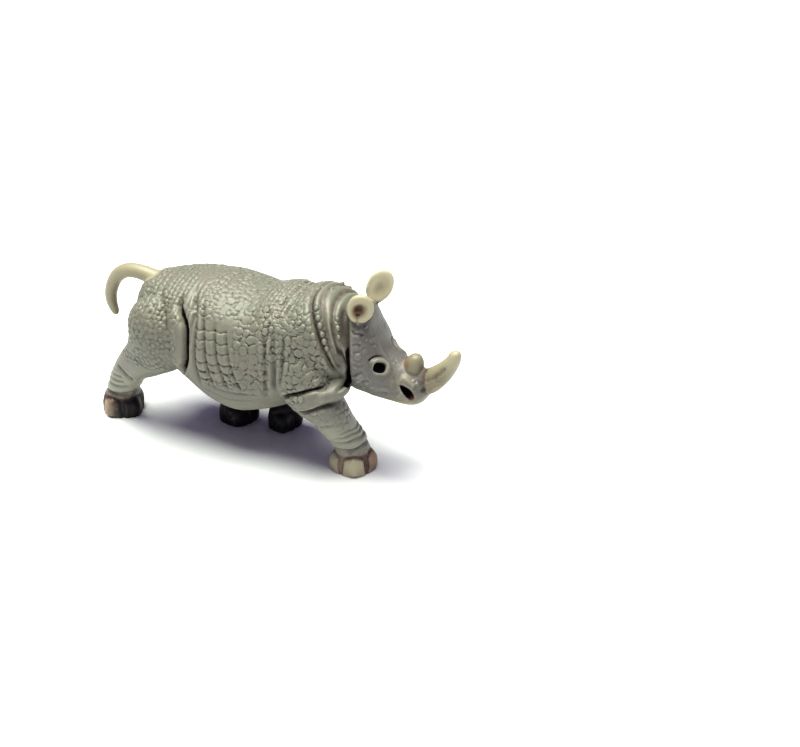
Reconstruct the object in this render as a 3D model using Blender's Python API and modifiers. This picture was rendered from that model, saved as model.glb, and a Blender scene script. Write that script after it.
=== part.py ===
"""A small soft plastic rhinoceros, moulded in one piece, trotting with its near foreleg forward.

X runs from tail to horn, Y to the animal's left and Z up. The origin is on the ground, under
the middle of the figure. The form is drawn in sixty-fifths of the figure's length.
"""
import math

import bmesh
import bpy
import numpy as np
from mathutils import Matrix, Vector

# The figure's length, from the back of the tail to the tip of the front horn, in metres
LENGTH = 0.065
SHARES = 65.0
UNIT = LENGTH / SHARES

# The plastic, as a Principled material
SKIN_COLOUR = (0.262, 0.262, 0.196, 1.0)
SKIN_ROUGHNESS = 0.45

# How finely the form is sampled while it is blended, and how many triangles it keeps
VOXEL = 0.30
BLEND_PASSES = 4
BLEND_SHARE = 0.5
SETTLE_SHARE = 0.4
TRIANGLES = 8800

# How square the sections are (2 is an oval), and how much narrower the head is at the top
TRUNK_SQUARENESS = 2.25
HEAD_SQUARENESS = 2.3
LIMB_SQUARENESS = 2.25
HEAD_NARROWING = 0.25

# Trunk and neck: place along X, top, underside, half width
TRUNK = (
    (-19.4, 24.6, 17.6, 3.2),
    (-18.2, 26.2, 14.6, 5.8),
    (-13.0, 27.9, 12.6, 8.4),
    (-8.5, 28.7, 10.2, 10.0),
    (-4.0, 28.9, 7.5, 10.8),
    (0.0, 28.5, 6.5, 10.9),
    (3.2, 28.2, 7.2, 10.5),
    (6.5, 29.4, 8.4, 10.1),
    (9.3, 29.4, 9.9, 9.4),
    (11.2, 30.1, 11.2, 8.9),
    (14.0, 30.8, 12.9, 8.2),
    (16.6, 30.0, 14.3, 7.5),
    (18.6, 29.1, 15.6, 6.5),
    (19.7, 26.8, 17.6, 5.0),
)

# Head, in the same terms
HEAD = (
    (15.6, 27.6, 17.0, 4.2),
    (17.8, 29.4, 15.7, 5.7),
    (20.0, 29.8, 14.7, 6.0),
    (21.4, 29.4, 14.4, 5.9),
    (22.7, 27.6, 14.2, 5.6),
    (23.4, 25.4, 14.1, 5.4),
    (24.2, 23.3, 14.1, 5.1),
    (26.2, 21.3, 13.9, 4.5),
    (29.4, 19.8, 13.6, 3.7),
    (31.2, 19.0, 14.3, 2.9),
    (32.2, 18.2, 15.8, 1.8),
)

# Each leg: points down its middle (X, Y, Z) with the half depth along X and half width along Y
NEAR_FORELEG = (
    (8.6, -3.4, 24.2, 1.6, 1.2),
    (9.4, -4.7, 22.2, 4.4, 3.0),
    (11.0, -5.9, 18.6, 5.0, 3.9),
    (14.0, -6.4, 15.2, 4.4, 3.7),
    (16.6, -6.0, 12.2, 3.35, 3.2),
    (18.0, -4.6, 8.7, 2.75, 2.9),
    (19.2, -3.2, 5.6, 2.75, 2.8),
    (19.4, -2.7, 3.6, 2.8, 2.8),
)
NEAR_HIND_LEG = (
    (-12.2, -3.0, 25.2, 1.8, 1.4),
    (-12.4, -4.0, 23.6, 4.6, 3.6),
    (-13.0, -5.0, 20.9, 6.2, 5.0),
    (-14.0, -5.5, 17.6, 5.9, 4.9),
    (-16.9, -5.0, 13.9, 4.0, 3.8),
    (-20.2, -4.1, 10.8, 3.0, 3.0),
    (-22.9, -3.3, 6.6, 2.75, 2.7),
    (-23.9, -2.6, 3.6, 2.75, 2.7),
)
FAR_FORELEG = (
    (9.4, 3.4, 24.2, 1.6, 1.2),
    (9.3, 4.7, 22.2, 4.4, 3.0),
    (9.2, 5.9, 18.2, 5.0, 3.9),
    (8.6, 6.5, 14.2, 4.3, 3.7),
    (7.2, 6.1, 10.6, 3.8, 3.3),
    (5.4, 5.5, 7.4, 2.8, 2.8),
    (3.8, 4.8, 4.6, 2.4, 2.5),
    (3.1, 4.6, 3.2, 2.3, 2.4),
)
FAR_HIND_LEG = (
    (-12.6, 3.0, 25.2, 1.8, 1.4),
    (-12.8, 4.0, 23.6, 4.6, 3.6),
    (-12.9, 5.0, 20.6, 6.1, 5.0),
    (-12.4, 5.5, 16.6, 6.0, 4.7),
    (-10.2, 5.3, 11.6, 4.4, 3.7),
    (-7.4, 4.4, 7.6, 3.3, 3.0),
    (-5.6, 3.6, 4.8, 2.9, 2.7),
    (-5.1, 3.3, 3.2, 2.8, 2.7),
)

# Each foot: middle of the sole (X, Y), half length, half width
FEET = {
    "near_fore": (19.5, -2.5, 3.4, 3.4),
    "near_hind": (-24.2, -2.5, 3.4, 3.2),
    "far_fore": (3.0, 4.5, 2.5, 2.7),
    "far_hind": (-5.1, 3.2, 3.1, 2.9),
}
FOOT_SLICES = ((4.4, 0.72), (3.2, 0.90), (1.8, 1.0), (0.5, 0.99), (-0.9, 0.96))

# Tail and horns: points down the middle (X, Z) with the radius
TAIL = (
    (-15.5, 25.0, 1.7),
    (-18.0, 25.5, 1.45),
    (-20.8, 26.0, 1.3),
    (-23.3, 25.7, 1.25),
    (-25.4, 24.1, 1.2),
    (-26.6, 21.4, 1.1),
    (-26.7, 19.2, 0.95),
    (-26.1, 17.4, 0.7),
    (-25.9, 16.8, 0.35),
)
FRONT_HORN = (
    (30.2, 17.3, 2.1),
    (31.8, 17.9, 2.1),
    (33.2, 19.0, 1.9),
    (34.6, 20.5, 1.6),
    (35.8, 22.2, 1.3),
    (36.4, 23.6, 1.05),
    (36.6, 24.2, 0.75),
    (36.65, 24.5, 0.35),
)
REAR_HORN = (
    (29.0, 18.2, 1.75),
    (29.2, 19.8, 1.65),
    (29.4, 21.0, 1.55),
    (29.5, 21.8, 1.4),
    (29.5, 22.1, 0.9),
)

# Ears: middle of the root, tip, the way the face looks, depth of the cup in shares of the half
# depth, half width, half depth. The near ear is a deep round cup, the far one a taller leaf.
EARS = {
    "near_ear": ((21.4, -3.8, 27.6), (21.8, -3.4, 32.8), (0.42, -0.85, 0.25), 1.0, 2.15, 1.4),
    "far_ear": ((20.9, 2.9, 28.0), (22.4, 4.0, 33.9), (0.60, -0.75, 0.0), 0.8, 2.25, 1.05),
}
EAR_LIP = 0.5
EAR_RIM = 0.85

# The roll of skin over each elbow: middle, half sizes, and its rise towards the front in degrees
ELBOW_ROLLS = (
    ((16.4, -6.0, 15.9), (4.6, 3.9, 1.3), -20.0),
    ((9.2, 6.2, 13.4), (4.4, 3.7, 1.2), -8.0),
)

# Eyes: middle (X, Y, Z) and radius
EYES = ((24.8, -3.7, 20.7, 1.05), (24.8, 3.5, 20.4, 0.95))

# Toenails: the way each foot points, in degrees from X towards Y, and the angle between nails
NAIL_TURN = {"near_fore": -62.0, "near_hind": -20.0, "far_fore": 15.0, "far_hind": 15.0}
NAIL_SPREAD = 80.0
NAIL_SIZE = (1.2, 1.2, 2.0)
NAIL_PLACE = 0.80
NAIL_HEIGHT = 1.5

# Carved lines in the side view: which side they are on (-1 near, 1 far, 0 both), half width,
# depth below the skin (a negative depth is a raised roll), then their points (X, Z)
CARVING = {
    "hip crease, near": (-1, 0.50, 1.15, ((-9.6, 27.6), (-8.8, 25.8), (-7.7, 24.6), (-6.8, 23.2),
                                          (-6.6, 20.5), (-6.8, 17.6), (-7.9, 15.2), (-9.0, 13.2))),
    "hip roll, near": (-1, 1.40, -0.55, ((-10.4, 25.6), (-8.8, 23.4), (-8.5, 20.5), (-8.7, 17.6),
                                         (-9.9, 15.4))),
    "hip crease, far": (1, 0.50, 1.00, ((-9.6, 27.6), (-8.6, 25.8), (-7.4, 24.4), (-6.2, 22.6),
                                        (-5.6, 19.8), (-5.4, 17.0), (-5.6, 14.4), (-5.6, 12.0))),
    "hip roll, far": (1, 1.40, -0.50, ((-10.2, 25.6), (-8.6, 23.2), (-7.6, 20.0), (-7.4, 17.0),
                                       (-7.6, 14.4))),
    "loin band": (0, 0.38, 0.42, ((-7.6, 28.8), (-6.0, 26.6), (-5.3, 24.9), (-5.0, 23.5),
                                  (-4.9, 21.0), (-4.9, 18.3), (-4.6, 15.5), (-3.9, 12.5))),
    "rib fold 1": (0, 0.38, 0.38, ((-5.0, 27.6), (-4.2, 25.6), (-3.6, 23.8), (-3.1, 21.5),
                                   (-2.8, 19.0), (-2.2, 16.4), (-1.1, 13.0))),
    "rib fold 2": (0, 0.36, 0.34, ((-2.0, 25.4), (-1.3, 22.6), (-0.7, 19.5), (0.1, 16.8),
                                   (1.3, 13.4))),
    "rib fold 3": (0, 0.36, 0.30, ((0.2, 24.6), (0.8, 22.3), (1.5, 19.6), (2.4, 16.4),
                                   (3.6, 13.8))),
    "shoulder fold 1": (0, 0.42, 0.45, ((6.6, 25.6), (7.4, 23.0), (7.6, 19.0), (7.3, 14.7),
                                        (7.0, 12.4))),
    "shoulder fold 2": (0, 0.42, 0.42, ((8.4, 25.9), (8.9, 22.8), (9.0, 19.0), (8.7, 14.8))),
    "shoulder fold 3": (0, 0.42, 0.40, ((10.2, 25.4), (10.4, 22.8), (10.3, 19.4), (9.8, 16.0))),
    "collar": (0, 0.45, 0.60, ((11.4, 31.4), (13.6, 30.6), (15.4, 29.0), (16.8, 26.6),
                               (17.9, 23.2), (18.2, 19.4), (18.4, 15.6))),
    "neck fold 1": (0, 0.38, 0.42, ((14.0, 31.8), (15.8, 30.4), (17.2, 28.2), (18.4, 24.7),
                                    (18.7, 20.8), (18.8, 17.0))),
    "neck fold 2": (0, 0.36, 0.36, ((15.6, 31.6), (17.0, 29.9), (18.3, 27.4), (19.0, 24.0),
                                    (19.3, 20.6), (19.2, 17.5))),
    "neck crease": (0, 0.55, 0.85, ((17.4, 30.4), (18.9, 28.0), (19.9, 24.6), (20.2, 20.7),
                                    (19.7, 16.3))),
    "elbow fold, near": (-1, 0.42, 0.75, ((9.8, 13.8), (11.6, 15.6), (13.9, 16.6), (15.9, 17.3),
                                          (17.4, 17.0))),
    "elbow roll, near": (-1, 0.80, -0.35, ((12.4, 13.9), (14.6, 15.2), (16.4, 16.0), (17.8, 15.9))),
    "arm fold, near": (-1, 0.38, 0.42, ((12.2, 12.4), (14.2, 13.4), (16.4, 14.8), (18.0, 14.6))),
    "elbow fold, far": (1, 0.42, 0.65, ((5.2, 14.6), (8.0, 15.2), (10.8, 15.6), (13.6, 16.6))),
    "elbow roll, far": (1, 0.80, -0.35, ((5.4, 13.2), (8.0, 13.7), (10.8, 14.2), (12.6, 15.2))),
    "arm fold, far": (1, 0.38, 0.40, ((5.4, 11.8), (8.0, 12.3), (10.6, 12.8))),
    "hock fold, near": (-1, 0.40, 0.40, ((-22.6, 11.2), (-20.8, 10.2), (-19.2, 8.4))),
}

# The same for the face, pressed into the cheeks and not across the top of the nose
FACE_CARVING = {
    "upper lid": (0, 0.42, -0.50, ((23.2, 20.7), (23.7, 21.9), (24.9, 22.3), (26.1, 21.7),
                                   (26.7, 20.5))),
    "brow groove": (0, 0.32, 0.30, ((22.4, 21.4), (23.3, 22.8), (24.9, 23.2))),
    "lower lid": (0, 0.36, -0.32, ((23.4, 20.0), (24.4, 19.2), (25.6, 19.2), (26.6, 19.9))),
    "upper lip": (0, 0.60, -0.32, ((28.2, 19.3), (29.5, 18.6), (30.7, 17.7))),
    "mouth": (0, 0.42, 0.85, ((28.2, 18.3), (29.1, 17.4), (30.2, 16.8), (31.3, 16.6))),
    "lower lip": (0, 0.60, -0.28, ((28.0, 16.8), (29.3, 15.8), (30.6, 15.4))),
    "nostril": (0, 0.42, 0.65, ((31.8, 17.8), (32.0, 17.5), (32.2, 17.3))),
    "jaw crease": (0, 0.40, 0.25, ((22.4, 16.6), (24.6, 16.4), (27.0, 16.6))),
    "cheek": (0, 1.20, -0.30, ((21.6, 19.4), (22.4, 18.2))),
}
FADE_SHARE = 0.16
CHEEK_START, CHEEK_FULL = 1.7, 2.8

# Rings pressed around the lower legs: the leg's foot, height, half width, depth
ANKLE_RINGS = (
    ("near_fore", 5.0, 0.40, 0.42), ("near_fore", 6.8, 0.36, 0.28),
    ("near_hind", 4.8, 0.40, 0.42), ("near_hind", 6.6, 0.36, 0.28),
    ("far_fore", 4.4, 0.40, 0.38), ("far_fore", 6.1, 0.36, 0.25),
    ("far_hind", 4.4, 0.40, 0.38), ("far_hind", 6.1, 0.36, 0.25),
)
RING_REACH = 5.2
RING_TILT = 0.12


def smooth_path(rows, steps):
    """Points on a smooth curve through the rows, whatever the rows hold."""
    rows = np.array(rows, dtype=float)
    padded = np.vstack((2 * rows[0] - rows[1], rows, 2 * rows[-1] - rows[-2]))
    out = []
    for i in range(1, len(padded) - 2):
        before, here, there, after = padded[i - 1:i + 3]
        for k in range(steps):
            t = k / steps
            out.append(0.5 * (2 * here + (there - before) * t
                              + (2 * before - 5 * here + 4 * there - after) * t ** 2
                              + (3 * here - before - 3 * there + after) * t ** 3))
    out.append(rows[-1])
    return np.array(out)


def loft(name, middles, across, up, squareness=LIMB_SQUARENESS, narrowing=0.0, sides=28):
    """A closed skin over oval sections, each with its middle and two half-axes.

    The sections' upper half is narrower by the given share."""
    turns = [2 * math.pi * k / sides for k in range(sides)]
    power = 2.0 / squareness
    mesh = bmesh.new()
    rings = []
    for centre, side, height in zip(middles, across, up):
        ring = []
        for turn in turns:
            c, s = math.cos(turn), math.sin(turn)
            s = math.copysign(abs(s) ** power, s)
            c = math.copysign(abs(c) ** power, c) * (1.0 - narrowing * max(0.0, s))
            ring.append(mesh.verts.new(Vector(centre + side * c + height * s)))
        rings.append(ring)
    for lower, higher in zip(rings, rings[1:]):
        for k in range(sides):
            j = (k + 1) % sides
            mesh.faces.new((lower[k], lower[j], higher[j], higher[k]))
    mesh.faces.new(list(reversed(rings[0])))
    mesh.faces.new(rings[-1])
    bmesh.ops.recalc_face_normals(mesh, faces=mesh.faces)
    return finish_piece(name, mesh)


def finish_piece(name, mesh):
    """Turn an edit mesh into an object in the scene."""
    data = bpy.data.meshes.new(name)
    mesh.to_mesh(data)
    mesh.free()
    piece = bpy.data.objects.new(name, data)
    bpy.context.scene.collection.objects.link(piece)
    return piece


def barrel(name, stations, squareness, narrowing):
    """A loft of upright sections along X: the trunk with the neck, and the head."""
    rows = smooth_path(stations, 5)
    x, top, under, half_width = rows.T
    nothing = np.zeros_like(x)
    middles = np.column_stack((x, nothing, (top + under) / 2))
    across = np.column_stack((nothing, half_width, nothing))
    up = np.column_stack((nothing, nothing, (top - under) / 2))
    return loft(name, middles, across, up, squareness, narrowing)


def leg(name, stations):
    """A loft whose sections stand square to the leg's own path."""
    rows = smooth_path(stations, 5)
    middles = rows[:, :3]
    along = np.gradient(middles, axis=0)
    along /= np.linalg.norm(along, axis=1)[:, None]
    width_way = np.array((0.0, 1.0, 0.0))
    depth_way = np.cross(width_way, along)
    depth_way /= np.linalg.norm(depth_way, axis=1)[:, None]
    width_way = np.cross(along, depth_way)
    across = width_way * rows[:, 4:5]
    up = depth_way * rows[:, 3:4]
    return loft(name, middles, across, up)


def foot(name, place):
    """A short drum that widens to the sole and runs on a little below the ground."""
    x, y, half_length, half_width = place
    middles, across, up = [], [], []
    for z, share in FOOT_SLICES:
        middles.append((x, y, z))
        across.append((half_length * share, 0.0, 0.0))
        up.append((0.0, half_width * share, 0.0))
    return loft(name, np.array(middles), np.array(across), np.array(up))


def tapered_tube(name, stations):
    """A bevelled curve in the plane of symmetry, thinner towards its tip, as a mesh."""
    rows = smooth_path(stations, 4)
    curve = bpy.data.curves.new(name, "CURVE")
    curve.dimensions = "3D"
    curve.bevel_depth = 1.0
    curve.bevel_resolution = 4
    curve.use_fill_caps = True
    spline = curve.splines.new("POLY")
    spline.points.add(len(rows) - 1)
    for point, (x, z, radius) in zip(spline.points, rows):
        point.co = (x, 0.0, z, 1.0)
        point.radius = radius
    line = bpy.data.objects.new(name, curve)
    bpy.context.scene.collection.objects.link(line)
    seen = line.evaluated_get(bpy.context.evaluated_depsgraph_get())
    data = bpy.data.meshes.new_from_object(seen)
    bpy.data.objects.remove(line)
    mesh = bmesh.new()
    mesh.from_mesh(data)
    bmesh.ops.remove_doubles(mesh, verts=mesh.verts, dist=0.001)
    bmesh.ops.recalc_face_normals(mesh, faces=mesh.faces)
    return finish_piece(name, mesh)


def ear(name, shape):
    """A leaf with a cupped face, from a flattened ball."""
    mesh = bmesh.new()
    bmesh.ops.create_uvsphere(mesh, u_segments=24, v_segments=16, radius=1.0)
    root, tip, opens = (Vector(part) for part in shape[:3])
    cup, half_width, half_depth = shape[3:]
    height_way = (tip - root).normalized()
    opens = (opens - height_way * opens.dot(height_way)).normalized()
    width_way = height_way.cross(opens)
    half_height = (tip - root).length / 2
    middle = (root + tip) / 2
    for vert in mesh.verts:
        wide, deep, high = vert.co
        level = min(abs(high), 0.999)
        fullness = (1.0 - level ** 2.6) ** 0.45 / math.sqrt(1.0 - level ** 2)
        fullness *= 1.0 - 0.25 * max(0.0, -high) ** 2
        reach = min(1.0, math.hypot(wide, high))
        if deep > 0.0:
            dish = 1.0 - min(1.0, reach / EAR_RIM) ** 2
            deep = EAR_LIP * math.sqrt(1.0 - reach ** 4) - cup * dish ** 2
        vert.co = (middle + width_way * wide * half_width * fullness
                   + height_way * high * half_height
                   + opens * deep * half_depth)
    bmesh.ops.recalc_face_normals(mesh, faces=mesh.faces)
    return finish_piece(name, mesh)


def ball(name, centre, sizes, rise=0.0):
    """An ellipsoid, turned in the side view by the rise in degrees."""
    mesh = bmesh.new()
    bmesh.ops.create_uvsphere(mesh, u_segments=20, v_segments=12, radius=1.0)
    grow = Matrix.Diagonal((*sizes, 1.0))
    turn = Matrix.Rotation(math.radians(rise), 4, "Y")
    bmesh.ops.transform(mesh, matrix=Matrix.Translation(centre) @ turn @ grow, verts=mesh.verts)
    return finish_piece(name, mesh)


def rough_pieces():
    """Every mass of the figure, each a closed mesh that overlaps its neighbours."""
    pieces = [
        barrel("trunk", TRUNK, TRUNK_SQUARENESS, 0.0),
        barrel("head", HEAD, HEAD_SQUARENESS, HEAD_NARROWING),
        leg("near_foreleg", NEAR_FORELEG),
        leg("near_hind_leg", NEAR_HIND_LEG),
        leg("far_foreleg", FAR_FORELEG),
        leg("far_hind_leg", FAR_HIND_LEG),
        tapered_tube("tail", TAIL),
        tapered_tube("front_horn", FRONT_HORN),
        tapered_tube("rear_horn", REAR_HORN),
    ]
    for name, place in FEET.items():
        pieces.append(foot(name, place))
        pieces.extend(toenails(name))
    for name, shape in EARS.items():
        pieces.append(ear(name, shape))
    for x, y, z, radius in EYES:
        pieces.append(ball("eye", (x, y, z), (radius, radius, radius)))
    for centre, sizes, rise in ELBOW_ROLLS:
        pieces.append(ball("elbow_roll", centre, sizes, rise))
    return pieces


def blended(pieces):
    """The masses as one smooth skin."""
    mesh = bmesh.new()
    for piece in pieces:
        mesh.from_mesh(piece.data)
        bpy.data.objects.remove(piece)
    figure = finish_piece("rhinoceros", mesh)
    remesh = figure.modifiers.new("one skin", "REMESH")
    remesh.mode = "VOXEL"
    remesh.voxel_size = VOXEL
    soften = figure.modifiers.new("blend", "SMOOTH")
    soften.factor = BLEND_SHARE
    soften.iterations = BLEND_PASSES
    return applied(figure)


def toenails(name):
    """Three nails round the front of a foot."""
    x, y, half_length, half_width = FEET[name]
    nails = []
    for step in (-1, 0, 1):
        turn = math.radians(NAIL_TURN[name] + step * NAIL_SPREAD)
        centre = (x + NAIL_PLACE * half_length * math.cos(turn),
                  y + NAIL_PLACE * half_width * math.sin(turn), NAIL_HEIGHT)
        nails.append(ball("nail", centre, NAIL_SIZE))
    return nails


def eased(value, start, end):
    """Nought before the start, one after the end, smooth between."""
    t = np.clip((value - start) / (end - start), 0.0, 1.0)
    return t * t * (3.0 - 2.0 * t)


def from_line(places, line):
    """Each place's distance from a line in the side view, and how far along the line it is."""
    best = np.full(len(places), 1e9)
    share = np.zeros(len(places))
    lengths = np.linalg.norm(np.diff(line, axis=0), axis=1)
    total, gone = lengths.sum(), 0.0
    for start, end, length in zip(line, line[1:], lengths):
        way = (end - start) / length
        reach = np.clip((places - start) @ way, 0.0, length)
        distance = np.linalg.norm(places - start - reach[:, None] * way, axis=1)
        nearer = distance < best
        best[nearer] = distance[nearer]
        share[nearer] = (gone + reach[nearer]) / total
        gone += length
    return best, share


def carved(figure):
    """Press the folds, lids, lips and ankle rings into the skin, and raise the rolls."""
    data = figure.data
    count = len(data.vertices)
    places = np.empty(count * 3)
    normals = np.empty(count * 3)
    data.vertices.foreach_get("co", places)
    data.vertices.foreach_get("normal", normals)
    places, normals = places.reshape(-1, 3), normals.reshape(-1, 3)
    lift = np.zeros(count)
    outward = np.sign(places[:, 1]) * normals[:, 1] + normals[:, 2] * 0.5
    on_cheek = eased(np.abs(places[:, 1]), CHEEK_START, CHEEK_FULL)
    for carving, where in ((CARVING, 1.0), (FACE_CARVING, on_cheek)):
        for side, half_width, depth, points in carving.values():
            line = smooth_path(points, 4)
            distance, share = from_line(places[:, (0, 2)], line)
            strength = where * eased(outward, -0.15, 0.25)
            strength *= eased(share, 0.0, FADE_SHARE) * eased(1.0 - share, 0.0, FADE_SHARE)
            if side:
                strength *= eased(side * places[:, 1], 0.0, 1.0)
            lift -= depth * strength * np.exp(-(distance / half_width) ** 2)
    for name, height, half_width, depth in ANKLE_RINGS:
        x, y = FEET[name][:2]
        near = np.linalg.norm(places[:, :2] - (x, y), axis=1)
        level = places[:, 2] - height - RING_TILT * (places[:, 0] - x)
        strength = 1.0 - eased(near, RING_REACH - 0.6, RING_REACH)
        lift -= depth * strength * np.exp(-(level / half_width) ** 2)
    places += normals * lift[:, None]
    data.vertices.foreach_set("co", places.ravel())
    data.update()


def applied(figure):
    """The figure with its modifiers turned into plain mesh."""
    seen = figure.evaluated_get(bpy.context.evaluated_depsgraph_get())
    data = bpy.data.meshes.new_from_object(seen)
    figure.modifiers.clear()
    figure.data = data
    return figure


def keep_outer_skin(figure):
    """Drop the closed scraps that blending leaves inside the figure."""
    mesh = bmesh.new()
    mesh.from_mesh(figure.data)
    waiting = set(mesh.verts)
    skins = []
    while waiting:
        skin = [waiting.pop()]
        for vert in skin:
            for edge in vert.link_edges:
                other = edge.other_vert(vert)
                if other in waiting:
                    waiting.remove(other)
                    skin.append(other)
        skins.append(skin)
    skins.sort(key=len)
    for scrap in skins[:-1]:
        bmesh.ops.delete(mesh, geom=scrap, context="VERTS")
    mesh.to_mesh(figure.data)
    mesh.free()


def cut_flat(figure, cutters):
    """Take off what runs below the ground, which leaves four flat soles."""
    reach = SHARES * 2
    mesh = bmesh.new()
    bmesh.ops.create_cube(mesh, size=reach)
    bmesh.ops.translate(mesh, verts=mesh.verts, vec=(0.0, 0.0, -reach / 2))
    ground = finish_piece("ground", mesh)
    move_to(ground, cutters)
    ground.hide_render = True
    ground.display_type = "WIRE"
    cut = figure.modifiers.new("flat soles", "BOOLEAN")
    cut.operation = "DIFFERENCE"
    cut.solver = "EXACT"
    cut.object = ground
    applied(figure)


def move_to(piece, collection):
    """Take a piece out of the scene's own collection and into the given one."""
    bpy.context.scene.collection.objects.unlink(piece)
    collection.objects.link(piece)


def main():
    for old in list(bpy.data.objects):
        bpy.data.objects.remove(old)
    made = []
    for name in ("rhinoceros figurine", "cutters"):
        made.append(bpy.data.collections.new(name))
        bpy.context.scene.collection.children.link(made[-1])
    parts, cutters = made
    figure = blended(rough_pieces())
    move_to(figure, parts)
    keep_outer_skin(figure)
    carved(figure)
    settle = figure.modifiers.new("settle", "SMOOTH")
    settle.factor = SETTLE_SHARE
    applied(figure)
    thin = figure.modifiers.new("fewer triangles", "DECIMATE")
    thin.ratio = TRIANGLES / (2.0 * len(figure.data.polygons))
    applied(figure)
    cut_flat(figure, cutters)

    plastic = bpy.data.materials.new("grey soft plastic")
    plastic.use_nodes = True
    shader = plastic.node_tree.nodes["Principled BSDF"]
    shader.inputs["Base Color"].default_value = SKIN_COLOUR
    shader.inputs["Roughness"].default_value = SKIN_ROUGHNESS
    figure.data.materials.clear()
    figure.data.materials.append(plastic)
    corners = np.array([corner[:] for corner in figure.bound_box])
    middle = (corners.min(axis=0) + corners.max(axis=0)) / 2
    figure.data.transform(Matrix.Translation((-middle[0], -middle[1], 0.0)))
    figure.data.transform(Matrix.Scale(UNIT, 4))


if __name__ == "__main__":
    main()
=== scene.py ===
"""A small soft plastic rhinoceros on a white table, seen from its right side and a little above.

The figure is drawn in sixty-fifths of its length, from the back of the tail to the tip of the
front horn, with X from tail to horn, Y to its left and Z up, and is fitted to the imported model
at the end.
"""
import math

import bmesh
import bpy
import numpy as np
from mathutils import Matrix, Vector
from mathutils.kdtree import KDTree


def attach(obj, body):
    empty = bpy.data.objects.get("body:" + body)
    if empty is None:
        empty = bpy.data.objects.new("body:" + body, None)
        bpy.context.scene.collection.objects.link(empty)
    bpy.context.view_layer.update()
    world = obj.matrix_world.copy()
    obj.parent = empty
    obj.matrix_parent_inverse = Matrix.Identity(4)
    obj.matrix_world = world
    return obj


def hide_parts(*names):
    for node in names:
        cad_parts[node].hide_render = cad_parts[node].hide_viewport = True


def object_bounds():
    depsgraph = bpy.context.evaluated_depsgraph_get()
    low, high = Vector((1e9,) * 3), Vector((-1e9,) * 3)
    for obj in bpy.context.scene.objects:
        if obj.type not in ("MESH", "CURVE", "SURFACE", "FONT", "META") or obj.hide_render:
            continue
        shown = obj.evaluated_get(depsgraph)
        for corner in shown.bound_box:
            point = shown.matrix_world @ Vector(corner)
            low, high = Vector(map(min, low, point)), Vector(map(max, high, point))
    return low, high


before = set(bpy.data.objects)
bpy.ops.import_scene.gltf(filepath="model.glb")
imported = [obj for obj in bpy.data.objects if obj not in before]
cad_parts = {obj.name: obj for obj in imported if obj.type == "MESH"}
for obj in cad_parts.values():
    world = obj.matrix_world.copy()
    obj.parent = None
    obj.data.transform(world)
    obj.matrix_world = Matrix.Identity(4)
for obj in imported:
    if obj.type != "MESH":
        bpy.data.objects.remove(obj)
cad_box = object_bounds()
SHARES = 65.1
unit = (cad_box[1].x - cad_box[0].x) / SHARES
scene = bpy.context.scene

# The table: a sheet of white card, lit from above until it is nearly blown out, so that only
# the shade under the animal shows on it.
TABLE_SIZE = 6.0
TABLE_COLOUR = (0.90, 0.91, 0.89, 1.0)

bpy.ops.mesh.primitive_plane_add(size=TABLE_SIZE)
table = bpy.context.object
table.name = "table"
card = bpy.data.materials.new("white card")
card.use_nodes = True
card_shader = card.node_tree.nodes["Principled BSDF"]
card_shader.inputs["Base Color"].default_value = TABLE_COLOUR
card_shader.inputs["Roughness"].default_value = 0.6
card_shader.inputs["Specular IOR Level"].default_value = 0.2
table.data.materials.append(card)

# The camera stands 30 degrees above the table, turned 25 degrees from square on, with a long
# lens. The animal sits left of the middle of the picture.
CAMERA_TURN = math.radians(25.0)
CAMERA_RISE = math.radians(30.0)
CAMERA_AIM = Vector((22.0, 0.0, 18.1)) * unit
CAMERA_DISTANCE = 362.5 * unit
PICTURE_WIDTH = 800.0
FOCAL_PIXELS = 2268.0

camera_data = bpy.data.cameras.new("camera")
camera = bpy.data.objects.new("camera", camera_data)
scene.collection.objects.link(camera)
toward_camera = Vector((math.sin(CAMERA_TURN) * math.cos(CAMERA_RISE),
                        -math.cos(CAMERA_TURN) * math.cos(CAMERA_RISE),
                        math.sin(CAMERA_RISE)))
camera.location = CAMERA_AIM + toward_camera * CAMERA_DISTANCE
camera.rotation_euler = toward_camera.to_track_quat("Z", "Y").to_euler()
camera_data.sensor_width = 36.0
camera_data.lens = camera_data.sensor_width * FOCAL_PIXELS / PICTURE_WIDTH
camera_data.clip_start = 0.001
camera_data.clip_end = 20.0
scene.camera = camera

# The light: one broad soft lamp overhead, a little to the left, over a weak purplish sky.
SKY_COLOUR = (0.60, 0.48, 1.0, 1.0)
SKY_STRENGTH = 0.20
LAMP_PLACE = (-0.06, 0.0, 0.90)
LAMP_SIZE = 0.75
LAMP_POWER = 14.0
LAMP_COLOUR = (0.96, 1.0, 0.90)

sky = bpy.data.worlds.new("sky")
sky.use_nodes = True
sky.node_tree.nodes["Background"].inputs["Color"].default_value = SKY_COLOUR
sky.node_tree.nodes["Background"].inputs["Strength"].default_value = SKY_STRENGTH
scene.world = sky
lamp_data = bpy.data.lights.new("overhead lamp", "AREA")
lamp_data.size = LAMP_SIZE
lamp_data.energy = LAMP_POWER
lamp_data.color = LAMP_COLOUR
lamp = bpy.data.objects.new("overhead lamp", lamp_data)
lamp.location = LAMP_PLACE
lamp.rotation_euler = Vector(LAMP_PLACE).to_track_quat("Z", "Y").to_euler()
scene.collection.objects.link(lamp)
scene.view_settings.view_transform = "Standard"
scene.view_settings.look = "High Contrast"

# The rhinoceros: one solid moulding in soft vinyl, sprayed grey over cream. Trunk, head and legs
# are masses blended into one skin, as the sculptor had them; then the folds are pressed in, the
# scales are raised, and painted shade darkens the hollows.
VOXEL = 0.13
BLEND_PASSES = 18
TRIANGLES = 190000

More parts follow.
